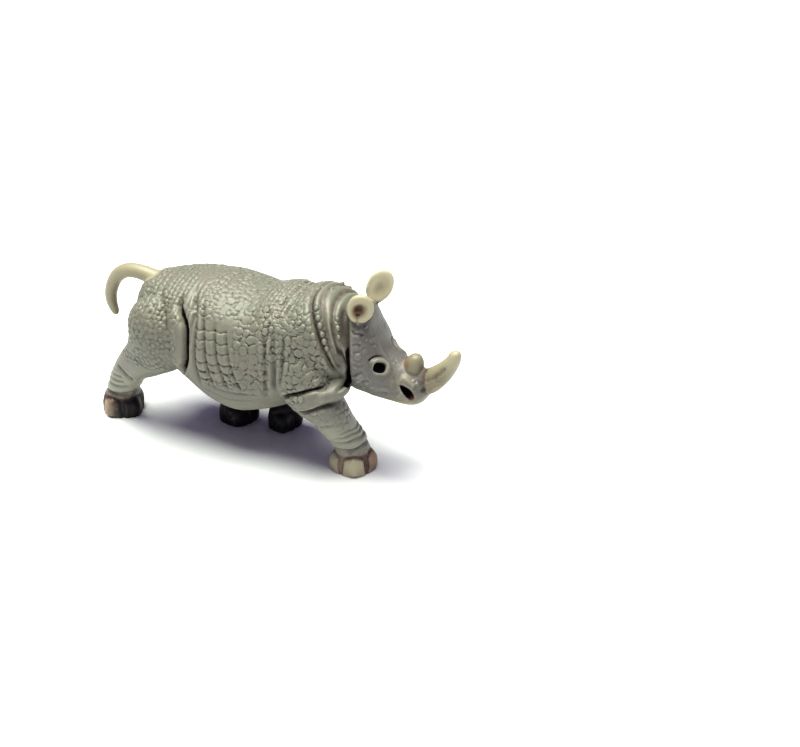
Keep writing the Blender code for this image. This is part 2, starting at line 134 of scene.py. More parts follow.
# How square the sections are (2 is an oval), and how much narrower the head is at the top
TRUNK_SQUARENESS = 2.25
HEAD_SQUARENESS = 2.3
LIMB_SQUARENESS = 2.25
HEAD_NARROWING = 0.25

# Trunk and neck: place along X, top, underside, half width
TRUNK = (
    (-19.4, 24.6, 17.6, 3.2), (-18.2, 26.2, 14.6, 5.8), (-13.0, 27.9, 12.6, 8.4),
    (-8.5, 28.7, 10.2, 10.0), (-4.0, 28.9, 7.5, 10.8), (0.0, 28.5, 6.5, 10.9),
    (3.2, 28.2, 7.2, 10.5), (6.5, 29.4, 8.4, 10.1), (9.3, 29.4, 9.9, 9.4), (11.2, 30.1, 11.2, 8.9),
    (14.0, 30.8, 12.9, 8.2), (16.6, 30.0, 14.3, 7.5), (18.6, 29.1, 15.6, 6.5),
    (19.7, 26.8, 17.6, 5.0),
)

# Head, in the same terms
HEAD = (
    (15.6, 27.6, 17.0, 4.2), (17.8, 29.4, 15.7, 5.7), (20.0, 29.8, 14.7, 6.0),
    (21.4, 29.4, 14.4, 5.9), (22.7, 27.6, 14.2, 5.6), (23.4, 25.4, 14.1, 5.4),
    (24.2, 23.3, 14.1, 5.1), (26.2, 21.3, 13.9, 4.5), (29.4, 19.8, 13.6, 3.7),
    (31.2, 19.0, 14.3, 2.9), (32.2, 18.2, 15.8, 1.8),
)

# Each leg: points down its middle (X, Y, Z) with the half depth along X and half width along Y
LEGS = {
    "near foreleg": (
        (8.6, -3.4, 24.2, 1.6, 1.2), (9.4, -4.7, 22.2, 4.4, 3.0), (11.0, -5.9, 18.6, 5.0, 3.9),
        (14.0, -6.4, 15.2, 4.4, 3.7), (16.6, -6.0, 12.2, 3.35, 3.2), (18.0, -4.6, 8.7, 2.75, 2.9),
        (19.2, -3.2, 5.6, 2.75, 2.8), (19.4, -2.7, 3.6, 2.8, 2.8)),
    "near hind leg": (
        (-12.2, -3.0, 25.2, 1.8, 1.4), (-12.4, -4.0, 23.6, 4.6, 3.6),
        (-13.0, -5.0, 20.9, 6.2, 5.0), (-14.0, -5.5, 17.6, 5.9, 4.9),
        (-16.9, -5.0, 13.9, 4.0, 3.8), (-20.2, -4.1, 10.8, 3.0, 3.0),
        (-22.9, -3.3, 6.6, 2.75, 2.7), (-23.9, -2.6, 3.6, 2.75, 2.7)),
    "far foreleg": (
        (9.4, 3.4, 24.2, 1.6, 1.2), (9.3, 4.7, 22.2, 4.4, 3.0), (9.2, 5.9, 18.2, 5.0, 3.9),
        (8.6, 6.5, 14.2, 4.3, 3.7), (7.2, 6.1, 10.6, 3.8, 3.3), (5.4, 5.5, 7.4, 2.8, 2.8),
        (3.8, 4.8, 4.6, 2.4, 2.5), (3.1, 4.6, 3.2, 2.3, 2.4)),
    "far hind leg": (
        (-12.6, 3.0, 25.2, 1.8, 1.4), (-12.8, 4.0, 23.6, 4.6, 3.6), (-12.9, 5.0, 20.6, 6.1, 5.0),
        (-12.4, 5.5, 16.6, 6.0, 4.7), (-10.2, 5.3, 11.6, 4.4, 3.7), (-7.4, 4.4, 7.6, 3.3, 3.0),
        (-5.6, 3.6, 4.8, 2.9, 2.7), (-5.1, 3.3, 3.2, 2.8, 2.7)),
}

# Each foot: middle of the sole (X, Y), half length, half width
FEET = {
    "near_fore": (19.5, -2.5, 3.4, 3.4),
    "near_hind": (-24.2, -2.5, 3.4, 3.2),
    "far_fore": (3.0, 4.5, 2.5, 2.7),
    "far_hind": (-5.1, 3.2, 3.1, 2.9),
}
FOOT_SLICES = ((4.4, 0.72), (3.2, 0.90), (1.8, 1.0), (0.5, 0.99), (-0.9, 0.96))

# Tail and horns: points down the middle (X, Z) with the radius
TAIL = (
    (-15.5, 25.0, 1.7), (-18.0, 25.5, 1.45), (-20.8, 26.0, 1.3), (-23.3, 25.7, 1.25),
    (-25.4, 24.1, 1.2), (-26.6, 21.4, 1.1), (-26.7, 19.2, 0.95), (-26.1, 17.4, 0.7),
    (-25.9, 16.8, 0.35),
)
FRONT_HORN = (
    (30.2, 17.3, 2.1), (31.8, 17.9, 2.1), (33.2, 19.0, 1.9), (34.6, 20.5, 1.6), (35.8, 22.2, 1.3),
    (36.4, 23.6, 1.05), (36.6, 24.2, 0.75), (36.65, 24.5, 0.35),
)
REAR_HORN = (
    (29.0, 18.2, 1.75), (29.2, 19.8, 1.65), (29.4, 20.9, 1.55), (29.5, 21.6, 1.25),
    (29.5, 22.1, 0.8), (29.5, 22.3, 0.35),
)

# Ears: middle of the root, tip, the way the face looks, depth of the cup in shares of the half
# depth, half width, half depth. The near ear is a deep round cup, the far one a taller leaf.
EARS = {
    "near_ear": ((21.4, -3.8, 27.6), (21.8, -3.4, 32.8), (0.42, -0.85, 0.25), 1.0, 2.15, 1.4),
    "far_ear": ((20.9, 2.9, 28.0), (22.4, 4.0, 33.9), (0.60, -0.75, 0.0), 0.8, 2.25, 1.05),
}
EAR_LIP = 0.5
EAR_RIM = 0.85

# The roll of skin over each elbow: middle, half sizes, and its rise towards the front in degrees
ELBOW_ROLLS = (
    ((16.4, -6.0, 15.6), (4.6, 3.7, 1.9), -20.0),
    ((9.2, 6.2, 13.4), (4.4, 3.7, 1.2), -8.0),
)

# Toenails: the way each foot points, in degrees from X towards Y, and the angle between nails
NAIL_TURN = {"near_fore": -62.0, "near_hind": -20.0, "far_fore": 15.0, "far_hind": 15.0}
NAIL_SPREAD = 80.0
NAIL_SIZE = (1.2, 1.2, 2.0)
NAIL_PLACE = 0.80
NAIL_HEIGHT = 1.5

# Carved lines in the side view, folds first and then the finer streaks and wrinkles: which side
# they are on (-1 near, 1 far, 0 both), half width, depth below the skin (a negative depth is a
# raised roll), then their points (X, Z)
CARVING = {
    "hip crease, near": (-1, 0.50, 1.15, ((-9.6, 27.6), (-8.8, 25.8), (-7.7, 24.6), (-6.8, 23.2),
        (-6.6, 20.5), (-6.8, 17.6), (-7.9, 15.2), (-9.0, 13.2))),
    "hip roll, near": (-1, 1.40, -0.55, ((-10.4, 25.6), (-8.8, 23.4), (-8.5, 20.5), (-8.7, 17.6),
        (-9.9, 15.4))),
    "hip crease, far": (1, 0.50, 1.00, ((-9.6, 27.6), (-8.6, 25.8), (-7.4, 24.4), (-6.2, 22.6),
        (-5.6, 19.8), (-5.4, 17.0), (-5.6, 14.4), (-5.6, 12.0))),
    "hip roll, far": (1, 1.40, -0.50, ((-10.2, 25.6), (-8.6, 23.2), (-7.6, 20.0), (-7.4, 17.0),
        (-7.6, 14.4))),
    "loin band": (0, 0.38, 0.42, ((-7.6, 28.8), (-6.0, 26.6), (-5.3, 24.9), (-5.0, 23.5),
        (-4.9, 21.0), (-4.9, 18.3), (-4.6, 15.5), (-3.9, 12.5))),
    "rib fold 1": (0, 0.38, 0.38, ((-5.0, 27.6), (-4.2, 25.6), (-3.6, 23.8), (-3.1, 21.5),
        (-2.8, 19.0), (-2.2, 16.4), (-1.1, 13.0))),
    "rib fold 2": (0, 0.36, 0.34, ((-2.0, 25.4), (-1.3, 22.6), (-0.7, 19.5), (0.1, 16.8),
        (1.3, 13.4))),
    "rib fold 3": (0, 0.36, 0.30, ((0.2, 24.6), (0.8, 22.3), (1.5, 19.6), (2.4, 16.4),
        (3.6, 13.8))),
    "shoulder fold 1": (0, 0.42, 0.45, ((6.6, 25.6), (7.4, 23.0), (7.6, 19.0), (7.3, 14.7),
        (7.0, 12.4))),
    "shoulder fold 2": (0, 0.42, 0.42, ((8.4, 25.9), (8.9, 22.8), (9.0, 19.0), (8.7, 14.8))),
    "shoulder fold 3": (0, 0.42, 0.40, ((10.2, 25.4), (10.4, 22.8), (10.3, 19.4), (9.8, 16.0))),
    "collar": (0, 0.42, 0.60, ((10.8, 31.4), (12.4, 30.6), (14.0, 29.0), (15.5, 26.6),
        (16.9, 23.6), (18.0, 20.8), (18.9, 17.8))),
    "neck fold 1": (0, 0.38, 0.42, ((12.8, 31.8), (14.5, 30.4), (16.1, 28.2), (17.7, 25.0),
        (18.9, 21.6), (19.6, 18.4))),
    "neck fold 2": (0, 0.34, 0.40, ((15.2, 31.4), (16.6, 29.8), (17.8, 27.2), (18.9, 24.0),
        (19.6, 21.0), (19.9, 18.4))),
    "neck crease": (0, 0.55, 0.85, ((17.4, 30.4), (18.9, 28.0), (19.9, 24.6), (20.2, 20.7),
        (19.7, 16.3))),
    "elbow fold, near": (-1, 0.34, 0.70, ((9.6, 13.6), (11.6, 15.4), (13.9, 16.5), (15.9, 17.3),
        (18.2, 17.7))),
    "elbow roll, near": (-1, 1.00, -0.20, ((12.4, 13.9), (14.6, 15.2), (16.4, 16.0),
        (18.4, 16.2))),
    "arm fold, near": (-1, 0.34, 0.50, ((12.6, 12.0), (15.2, 13.2), (17.4, 14.4), (19.4, 14.8))),
    "elbow fold, far": (1, 0.42, 0.65, ((5.2, 14.6), (8.0, 15.2), (10.8, 15.6), (13.6, 16.6))),
    "elbow roll, far": (1, 0.80, -0.35, ((5.4, 13.2), (8.0, 13.7), (10.8, 14.2), (12.6, 15.2))),
    "arm fold, far": (1, 0.38, 0.40, ((5.4, 11.8), (8.0, 12.3), (10.6, 12.8))),
    "hock fold, near": (-1, 0.40, 0.40, ((-22.6, 11.2), (-20.8, 10.2), (-19.2, 8.4))),
    "belly streak 1": (0, 0.28, 0.20, ((-4.6, 13.6), (-1.5, 12.4), (2.0, 11.8), (6.0, 12.2))),
    "belly streak 2": (0, 0.25, 0.16, ((-3.0, 12.0), (0.5, 10.9), (4.5, 10.6), (7.5, 11.2))),
    "belly streak 3": (0, 0.25, 0.14, ((-0.5, 9.9), (2.6, 9.4), (5.8, 9.9))),
    "flank end": (0, 0.30, 0.18, ((-4.4, 15.0), (-1.2, 14.0), (2.4, 13.6), (6.2, 14.0))),
    "neck line 1": (0, 0.24, 0.34, ((15.9, 27.6), (17.0, 25.6), (18.4, 22.0), (19.2, 19.0))),
    "neck line 2": (0, 0.22, 0.30, ((16.9, 28.6), (17.9, 26.4), (19.2, 22.8), (19.7, 19.6))),
    "plate line": (0, 0.30, 0.24, ((-8.6, 28.4), (-7.0, 27.6), (-6.0, 25.4), (-5.7, 22.8),
        (-5.8, 20.0))),
    "hip line": (0, 0.30, 0.16, ((-14.6, 27.0), (-12.4, 25.4), (-11.0, 23.6), (-10.6, 21.4))),
    "knee wrinkle": (-1, 0.28, 0.22, ((13.6, 10.6), (15.4, 10.0), (17.0, 10.2), (19.2, 11.2))),
    "horn crease": (0, 0.42, 0.24, ((31.6, 18.8), (33.0, 19.5), (34.2, 20.5), (35.6, 22.2))),
    "thigh line": (-1, 0.30, 0.16, ((-17.8, 15.6), (-15.0, 13.8), (-12.4, 13.4))),
    "ear wrinkle 1": (0, 0.24, 0.26, ((20.3, 26.9), (21.0, 26.2), (21.8, 26.2), (22.5, 25.6))),
    "ear wrinkle 2": (0, 0.22, 0.18, ((20.8, 24.4), (21.6, 24.7), (22.3, 24.2))),
    "brow wrinkle": (0, 0.24, 0.14, ((21.0, 23.4), (22.0, 23.6), (23.0, 24.2))),
}

# The same for the face, pressed into the cheeks and not across the top of the nose
FACE_CARVING = {
    "upper lip": (0, 0.60, -0.32, ((28.2, 19.3), (29.5, 18.6), (30.7, 17.7))),
    "lower lip": (0, 0.60, -0.28, ((28.0, 16.8), (29.3, 15.8), (30.6, 15.4))),
    "nostril": (0, 0.42, 0.65, ((31.8, 17.8), (32.0, 17.5), (32.2, 17.3))),
    "jaw crease": (0, 0.40, 0.25, ((22.4, 16.6), (24.6, 16.4), (27.0, 16.6))),
    "cheek": (0, 1.20, -0.30, ((21.6, 19.4), (22.4, 18.2))),
    "crow line": (0, 0.26, 0.12, ((21.2, 21.4), (22.2, 21.2), (23.2, 21.5))),
    "cheek line": (0, 0.30, 0.12, ((24.0, 18.6), (25.6, 17.9), (27.4, 17.9))),
    "lip line": (0, 0.26, 0.14, ((27.0, 19.4), (27.6, 18.4), (27.8, 17.2))),
    "nose line": (0, 0.26, 0.16, ((26.8, 20.7), (28.2, 20.3), (29.8, 19.2), (31.0, 18.3))),
}
FADE_SHARE = 0.16
CHEEK_START, CHEEK_FULL = 1.7, 2.8

# Rings and wrinkles pressed around the lower legs: the leg's foot, height, half width, depth
LEG_RINGS = (
    ("near_fore", 5.0, 0.40, 0.42), ("near_fore", 6.8, 0.36, 0.28),
    ("near_hind", 4.8, 0.40, 0.42), ("near_hind", 6.6, 0.36, 0.28),
    ("far_fore", 4.4, 0.40, 0.38), ("far_fore", 6.1, 0.36, 0.25),
    ("far_hind", 4.4, 0.40, 0.38), ("far_hind", 6.1, 0.36, 0.25),
    ("near_fore", 7.9, 0.26, 0.20), ("near_fore", 8.8, 0.24, 0.14),
    ("near_hind", 7.7, 0.28, 0.22), ("near_hind", 8.7, 0.26, 0.18), ("near_hind", 9.8, 0.26, 0.12),
)
RING_REACH = 5.2
RING_TILT = 0.12


def smooth_path(rows, steps):
    """Points on a smooth curve through the rows, whatever the rows hold."""
    rows = np.array(rows, dtype=float)
    padded = np.vstack((2 * rows[0] - rows[1], rows, 2 * rows[-1] - rows[-2]))
    out = []
    for i in range(1, len(padded) - 2):
        before, here, there, after = padded[i - 1:i + 3]
        for k in range(steps):
            t = k / steps
            out.append(0.5 * (2 * here + (there - before) * t
                              + (2 * before - 5 * here + 4 * there - after) * t ** 2
                              + (3 * here - before - 3 * there + after) * t ** 3))
    out.append(rows[-1])
    return np.array(out)


def loft(name, middles, across, up, squareness=LIMB_SQUARENESS, narrowing=0.0, sides=44):
    """A closed skin over oval sections, each with its middle and two half-axes.

    The sections' upper half is narrower by the given share."""
    turns = [2 * math.pi * k / sides for k in range(sides)]
    power = 2.0 / squareness
    mesh = bmesh.new()
    rings = []
    for centre, side, height in zip(middles, across, up):
        ring = []
        for turn in turns:
            c, s = math.cos(turn), math.sin(turn)
            s = math.copysign(abs(s) ** power, s)
            c = math.copysign(abs(c) ** power, c) * (1.0 - narrowing * max(0.0, s))
            ring.append(mesh.verts.new(Vector(centre + side * c + height * s)))
        rings.append(ring)
    for lower, higher in zip(rings, rings[1:]):
        for k in range(sides):
            j = (k + 1) % sides
            mesh.faces.new((lower[k], lower[j], higher[j], higher[k]))
    mesh.faces.new(list(reversed(rings[0])))
    mesh.faces.new(rings[-1])
    bmesh.ops.recalc_face_normals(mesh, faces=mesh.faces)
    return finish_piece(name, mesh)


def finish_piece(name, mesh):
    """Turn an edit mesh into an object in the scene."""
    data = bpy.data.meshes.new(name)
    mesh.to_mesh(data)
    mesh.free()
    piece = bpy.data.objects.new(name, data)
    scene.collection.objects.link(piece)
    return piece


def barrel(name, stations, squareness, narrowing):
    """A loft of upright sections along X: the trunk with the neck, and the head."""
    rows = smooth_path(stations, 5)
    x, top, under, half_width = rows.T
    nothing = np.zeros_like(x)
    middles = np.column_stack((x, nothing, (top + under) / 2))
    across = np.column_stack((nothing, half_width, nothing))
    up = np.column_stack((nothing, nothing, (top - under) / 2))
    return loft(name, middles, across, up, squareness, narrowing)


def leg(name, stations):
    """A loft whose sections stand square to the leg's own path."""
    rows = smooth_path(stations, 5)
    middles = rows[:, :3]
    along = np.gradient(middles, axis=0)
    along /= np.linalg.norm(along, axis=1)[:, None]
    width_way = np.array((0.0, 1.0, 0.0))
    depth_way = np.cross(width_way, along)
    depth_way /= np.linalg.norm(depth_way, axis=1)[:, None]
    width_way = np.cross(along, depth_way)
    across = width_way * rows[:, 4:5]
    up = depth_way * rows[:, 3:4]
    return loft(name, middles, across, up)


def foot(name, place):
    """A short drum that widens to the sole and runs on a little below the ground."""
    x, y, half_length, half_width = place
    middles, across, up = [], [], []
    for z, share in FOOT_SLICES:
        middles.append((x, y, z))
        across.append((half_length * share, 0.0, 0.0))
        up.append((0.0, half_width * share, 0.0))
    return loft(name, np.array(middles), np.array(across), np.array(up))


def tapered_tube(name, stations):
    """A bevelled curve in the plane of symmetry, thinner towards its tip, as a mesh."""
    rows = smooth_path(stations, 4)
    curve = bpy.data.curves.new(name, "CURVE")
    curve.dimensions = "3D"
    curve.bevel_depth = 1.0
    curve.bevel_resolution = 8
    curve.use_fill_caps = True
    spline = curve.splines.new("POLY")
    spline.points.add(len(rows) - 1)
    for point, (x, z, radius) in zip(spline.points, rows):
        point.co = (x, 0.0, z, 1.0)
        point.radius = radius
    line = bpy.data.objects.new(name, curve)
    scene.collection.objects.link(line)
    seen = line.evaluated_get(bpy.context.evaluated_depsgraph_get())
    data = bpy.data.meshes.new_from_object(seen)
    bpy.data.objects.remove(line)
    mesh = bmesh.new()
    mesh.from_mesh(data)
    bmesh.ops.remove_doubles(mesh, verts=mesh.verts, dist=0.001)
    bmesh.ops.recalc_face_normals(mesh, faces=mesh.faces)
    return finish_piece(name, mesh)


def ear_axes(shape):
    """An ear's middle and half height, and its ways across, up and out of the cup."""
    root, tip, opens = (Vector(part) for part in shape[:3])
    height_way = (tip - root).normalized()
    opens = (opens - height_way * opens.dot(height_way)).normalized()
    return (root + tip) / 2, (tip - root).length / 2, height_way.cross(opens), height_way, opens


def ear(name, shape):
    """A leaf with a cupped face, from a flattened ball."""
    mesh = bmesh.new()
    bmesh.ops.create_uvsphere(mesh, u_segments=40, v_segments=28, radius=1.0)
    middle, half_height, width_way, height_way, opens = ear_axes(shape)
    cup, half_width, half_depth = shape[3:]
    for vert in mesh.verts:
        wide, deep, high = vert.co
        level = min(abs(high), 0.999)
        fullness = (1.0 - level ** 2.25) ** 0.45 / math.sqrt(1.0 - level ** 2)
        fullness *= 1.0 - 0.25 * max(0.0, -high) ** 2
        reach = min(1.0, math.hypot(wide, high))
        if deep > 0.0:
            dish = 1.0 - min(1.0, reach / EAR_RIM) ** 2
            deep = EAR_LIP * math.sqrt(1.0 - reach ** 4) - cup * dish ** 2
        vert.co = (middle + width_way * wide * half_width * fullness
                   + height_way * high * half_height
                   + opens * deep * half_depth)
    bmesh.ops.recalc_face_normals(mesh, faces=mesh.faces)
    return finish_piece(name, mesh)


def ball(name, centre, sizes, rise=0.0):
    """An ellipsoid, turned in the side view by the rise in degrees."""
    mesh = bmesh.new()
    bmesh.ops.create_uvsphere(mesh, u_segments=28, v_segments=18, radius=1.0)
    grow = Matrix.Diagonal((*sizes, 1.0))
    turn = Matrix.Rotation(math.radians(rise), 4, "Y")
    bmesh.ops.transform(mesh, matrix=Matrix.Translation(centre) @ turn @ grow, verts=mesh.verts)
    return finish_piece(name, mesh)


def toenails(name):
    """Three nails round the front of a foot."""
    x, y, half_length, half_width = FEET[name]
    nails = []
    for step in (-1, 0, 1):
        turn = math.radians(NAIL_TURN[name] + step * NAIL_SPREAD)
        centre = (x + NAIL_PLACE * half_length * math.cos(turn),
                  y + NAIL_PLACE * half_width * math.sin(turn), NAIL_HEIGHT)
        nails.append(ball("nail", centre, NAIL_SIZE))
    return nails


def eased(value, start, end):
    """Nought at the start, one at the end, smooth between, whichever of them is the larger."""
    t = np.clip((value - start) / (end - start), 0.0, 1.0)
    return t * t * (3.0 - 2.0 * t)


def from_line(places, line):
    """Each place's distance from a line in the side view, and how far along the line it is."""
    best = np.full(len(places), 1e9)
    share = np.zeros(len(places))
    lengths = np.linalg.norm(np.diff(line, axis=0), axis=1)
    total, gone = lengths.sum(), 0.0
    for start, end, length in zip(line, line[1:], lengths):
        way = (end - start) / length
        reach = np.clip((places - start) @ way, 0.0, length)
        distance = np.linalg.norm(places - start - reach[:, None] * way, axis=1)
        nearer = distance < best
        best[nearer] = distance[nearer]
        share[nearer] = (gone + reach[nearer]) / total
        gone += length
    return best, share


def bake(figure):
    """Turn the figure's modifiers into plain mesh."""
    seen = figure.evaluated_get(bpy.context.evaluated_depsgraph_get())
    data = bpy.data.meshes.new_from_object(seen)
    figure.modifiers.clear()
    figure.data = data


# Blend the masses into one skin
masses = [barrel("trunk", TRUNK, TRUNK_SQUARENESS, 0.0),
          barrel("head", HEAD, HEAD_SQUARENESS, HEAD_NARROWING)]
for name, stations in LEGS.items():
    masses.append(leg(name, stations))
for name, stations in (("tail", TAIL), ("front horn", FRONT_HORN), ("rear horn", REAR_HORN)):
    masses.append(tapered_tube(name, stations))
for name, place in FEET.items():
    masses.append(foot(name, place))
    masses.extend(toenails(name))
for name, shape in EARS.items():
    masses.append(ear(name, shape))
for centre, sizes, rise in ELBOW_ROLLS:
    masses.append(ball("elbow roll", centre, sizes, rise))
mesh = bmesh.new()
for mass in masses:
    mesh.from_mesh(mass.data)
    bpy.data.objects.remove(mass)
figure = finish_piece("rhinoceros_figure", mesh)
remesh = figure.modifiers.new("one skin", "REMESH")
remesh.mode = "VOXEL"
remesh.voxel_size = VOXEL
soften = figure.modifiers.new("blend", "SMOOTH")
soften.factor = 0.5
soften.iterations = BLEND_PASSES
bake(figure)
mesh = bmesh.new()
mesh.from_mesh(figure.data)
waiting = set(mesh.verts)
skins = []
while waiting:
    skin = [waiting.pop()]
    for vert in skin:
        for edge in vert.link_edges:
            other = edge.other_vert(vert)
            if other in waiting:
                waiting.remove(other)
                skin.append(other)
    skins.append(skin)
skins.sort(key=len)
for scrap in skins[:-1]:
    bmesh.ops.delete(mesh, geom=scrap, context="VERTS")
mesh.to_mesh(figure.data)
mesh.free()


# Wrinkles across the back and the withers: first and last X, spacing, top and foot, depth
WRINKLE_BANDS = ((-16.6, -5.4, 0.90, 29.0, 23.0, 0.15), (4.6, 10.6, 0.72, 30.6, 27.4, 0.20))
WRINKLE_HALF_WIDTH = 0.24

# Rib cells: the rib lines between which cross grooves run, top and foot, and their step
RIB_LINES = ("loin band", "rib fold 1", "rib fold 2", "rib fold 3")
CELL_TOP, CELL_FOOT, CELL_STEP = 24.2, 15.2, 1.75
CELL_DEPTH, CELL_HALF_WIDTH, CELL_SAG = 0.19, 0.17, 0.15

# Pearls: the points of each row, with bead radius, height and spacing
PEARL_ROWS = (
    (((14.2, 29.6), (15.4, 28.0), (16.6, 25.6), (17.4, 23.6)), 0.46, 0.34, 1.25),
    (((17.9, 28.4), (18.5, 27.0), (18.9, 25.4)), 0.44, 0.28, 1.30),
    (((6.4, 27.6), (7.0, 26.2), (7.0, 24.4)), 0.50, 0.30, 1.10),
    (((12.0, 14.6), (13.0, 15.2), (14.2, 15.6)), 0.56, 0.20, 1.05),
)

# How far a bead's groove reaches, in radii
BEAD_REACH = 1.6

# Single bumps on each cheek and brow: X, distance from the middle plane, Z, radius, height
BUMPS = (
    (22.5, 5.4, 19.4, 0.66, 0.14), (23.3, 5.2, 18.2, 0.50, 0.12), (21.9, 4.8, 22.7, 0.70, 0.14),
    (23.3, 2.6, 24.6, 0.50, 0.13), (24.0, 2.9, 23.7, 0.48, 0.13), (25.0, 1.9, 22.9, 0.44, 0.12),
    (26.1, 2.1, 22.0, 0.48, 0.12), (27.0, 1.7, 21.3, 0.44, 0.12), (27.5, 2.5, 20.6, 0.46, 0.13),
    (28.6, 2.9, 19.9, 0.50, 0.13), (30.3, 2.6, 18.9, 0.46, 0.13), (22.6, 5.2, 16.9, 0.45, 0.10),
    (21.6, 5.4, 21.0, 0.55, 0.14), (22.2, 5.0, 25.0, 0.40, 0.10), (23.0, 4.0, 25.2, 0.38, 0.12),
    (21.4, 3.9, 28.0, 0.36, 0.14), (22.4, 3.0, 27.0, 0.34, 0.12), (24.2, 5.0, 17.4, 0.42, 0.10),
)

# Eyes and mouth are drawn in a quarter view, as the face shows them from ahead and above: how
# much of X, of the distance from the middle plane and of Z goes across and up that view
QUARTER_ACROSS = (0.906, -0.423, 0.0)
QUARTER_UP = (-0.211, -0.453, 0.866)
BROW_LINE = (0, 0.24, 0.26, ((19.1, 11.5), (19.7, 12.3), (20.7, 12.75), (21.9, 12.5), (22.5, 11.5)))
FACE_START, SNOUT_START = 21.0, 26.0

# Ovals on that view: middle, half sizes, turn, squareness (2 is an oval) and flare along it
SOCKET = ((20.97, 10.89), (0.95, 0.80), math.radians(-10.0), 2.7, 0.0)
UPPER_LID = ((21.32, 11.12), (1.90, 1.30), math.radians(-36.0), 2.0, 0.0)
NECK_GAP = ((15.92, 9.20), (1.70, 0.50), math.radians(-78.0), 1.8, 0.30)
MOUTH = ((25.32, 7.05), (1.50, 0.60), math.radians(-46.0), 1.9, 0.30)
SOCKET_DEPTH, NECK_GAP_DEPTH, MOUTH_DEPTH = 0.60, 0.40, 0.75
EYE_BULGE, UPPER_LID_HEIGHT, LOWER_LID_HEIGHT = 0.26, 0.30, 0.07

# Worn pale paint on the lips: X, Z, half length, half height, share
LIPS = ((28.6, 18.7, 1.7, 0.9, 0.60), (29.2, 15.0, 2.6, 1.0, 0.85), (31.2, 15.2, 1.4, 1.0, 0.60))

# How strong the black painted shade and the brown haze beside it are in the lines that hold any
LINE_PAINT = {
    "hip crease, near": (0.76, 0.40), "hip crease, far": (0.76, 0.00), "neck crease": (0.88, 0.50),
    "nostril": (0.80, 0.00), "elbow fold, near": (0.64, 0.50), "elbow fold, far": (0.64, 0.00),
    "arm fold, near": (0.56, 0.44), "collar": (0.57, 0.50), "brow line": (0.62, 0.34),
    "neck fold 2": (0.58, 0.46), "horn crease": (0.00, 0.48), "ear wrinkle 1": (0.00, 0.40),
    "ear wrinkle 2": (0.00, 0.30), "neck fold 1": (0.00, 0.40),
}

# Heights and depths of the finest relief: forehead, nose, seam and nails
FOREHEAD_DEPTH, NOSE_DISH_DEPTH = 0.40, 0.50
FLASH_HEIGHT = 0.34
NAIL_RIM_DEPTH, NAIL_RISE = 0.15, 0.12

# Patches of scales beside the main fields: low flank, forearm, back (twice) and thigh. Which
# scales, their share, then where along X and Z the patch starts, is full, falls off and is gone
SCALE_PATCHES = (
    ("big_scales", 0.60, (-4.8, -3.0, 7.0, 8.0), (13.8, 14.6, 16.8, 17.6)),
    ("big_scales", 0.30, (10.5, 12.0, 40.0, 41.0), (8.6, 10.0, 14.6, 15.4)),
    ("big_scales", 0.42, (-7.4, -5.6, 1.4, 2.6), (25.0, 26.4, 40.0, 41.0)),
    ("small_scales", 0.85, (-8.2, -6.6, 1.4, 2.6), (24.4, 25.6, 40.0, 41.0)),
    ("small_scales", 0.35, (-41.0, -40.0, -14.0, -12.0), (8.5, 9.5, 40.0, 41.0)),
)

# Where the neck plate ends: its X at each Z
COLLAR_Z = (15.0, 19.0, 23.5, 26.5, 29.0, 31.0)
COLLAR_X = (18.8, 18.5, 17.0, 15.6, 14.0, 11.6)


def skin():
    """Where the figure's points are now, and the way out of the skin at each."""
    rows = []
    for kind in ("co", "normal"):
        values = np.empty(len(figure.data.vertices) * 3)
        figure.data.vertices.foreach_get(kind, values)
        rows.append(values.reshape(-1, 3))
    return rows


def store(name, values):
    """Keep one value for each point of the skin, for the nodes to read."""
    layer = figure.data.attributes.new(name, "FLOAT", "POINT")
    layer.data.foreach_set("value", values.astype(np.float32))


def bell(value, width):
    """One in the middle, falling off softly on both sides."""
    return np.exp(-(value / width) ** 2)


def between(value, start, full, fall, gone):
    """One from full to fall, easing to nought at the start and where it is gone."""
    return eased(value, start, full) * eased(value, gone, fall)


def lay(name, amount, where=slice(None)):
    """Lay paint of one kind on the skin, where there is not more of it already."""
    paint[name][where] = np.maximum(paint[name][where], amount)


# From here on, bare numbers beside x, y and z are places on the figure in its own shares, and
# those beside a distance from an oval are in that oval's sizes
places, normals = skin()
count = len(places)
x, y, z = places.T.copy()
near_side = y < 0.0
flat = places[:, (0, 2)].copy()
mirrored = np.column_stack((x, np.abs(y), z))
quarter = mirrored @ np.column_stack((QUARTER_ACROSS, QUARTER_UP))
outward = np.sign(y) * normals[:, 1] + normals[:, 2] * 0.5
facing = eased(outward, -0.15, 0.25)
on_cheek = eased(np.abs(y), CHEEK_START, CHEEK_FULL)
lift = np.zeros(count)
paint = {name: np.zeros(count) for name in ("hollow", "cream", "pale", "wear_and_highlight", "brown", "rust",
                                            "shade", "ink_and_shade")}


def press(name, carving, where, view):
    """Press one line into the skin, or raise it; the deepest ones also hold painted shade."""
    side, half_width, depth, points = carving
    line = smooth_path(points, 4)
    low, high = line.min(axis=0) - 3 * half_width, line.max(axis=0) + 3 * half_width
    near = np.flatnonzero(((view > low) & (view < high)).all(axis=1))
    distance, share = from_line(view[near], line)
    strength = where[near] * facing[near]
    strength *= eased(share, 0.0, FADE_SHARE) * eased(1.0 - share, 0.0, FADE_SHARE)
    if side:
        strength *= eased(side * y[near], 0.0, 1.0)
    lift[near] -= depth * strength * bell(distance, half_width)
    if name in LINE_PAINT:
        dark, haze = LINE_PAINT[name]
        lay("ink_and_shade", dark * strength - 0.5 * distance / half_width, near)
        lay("brown", haze * strength * bell(distance, 1.5 * half_width), near)


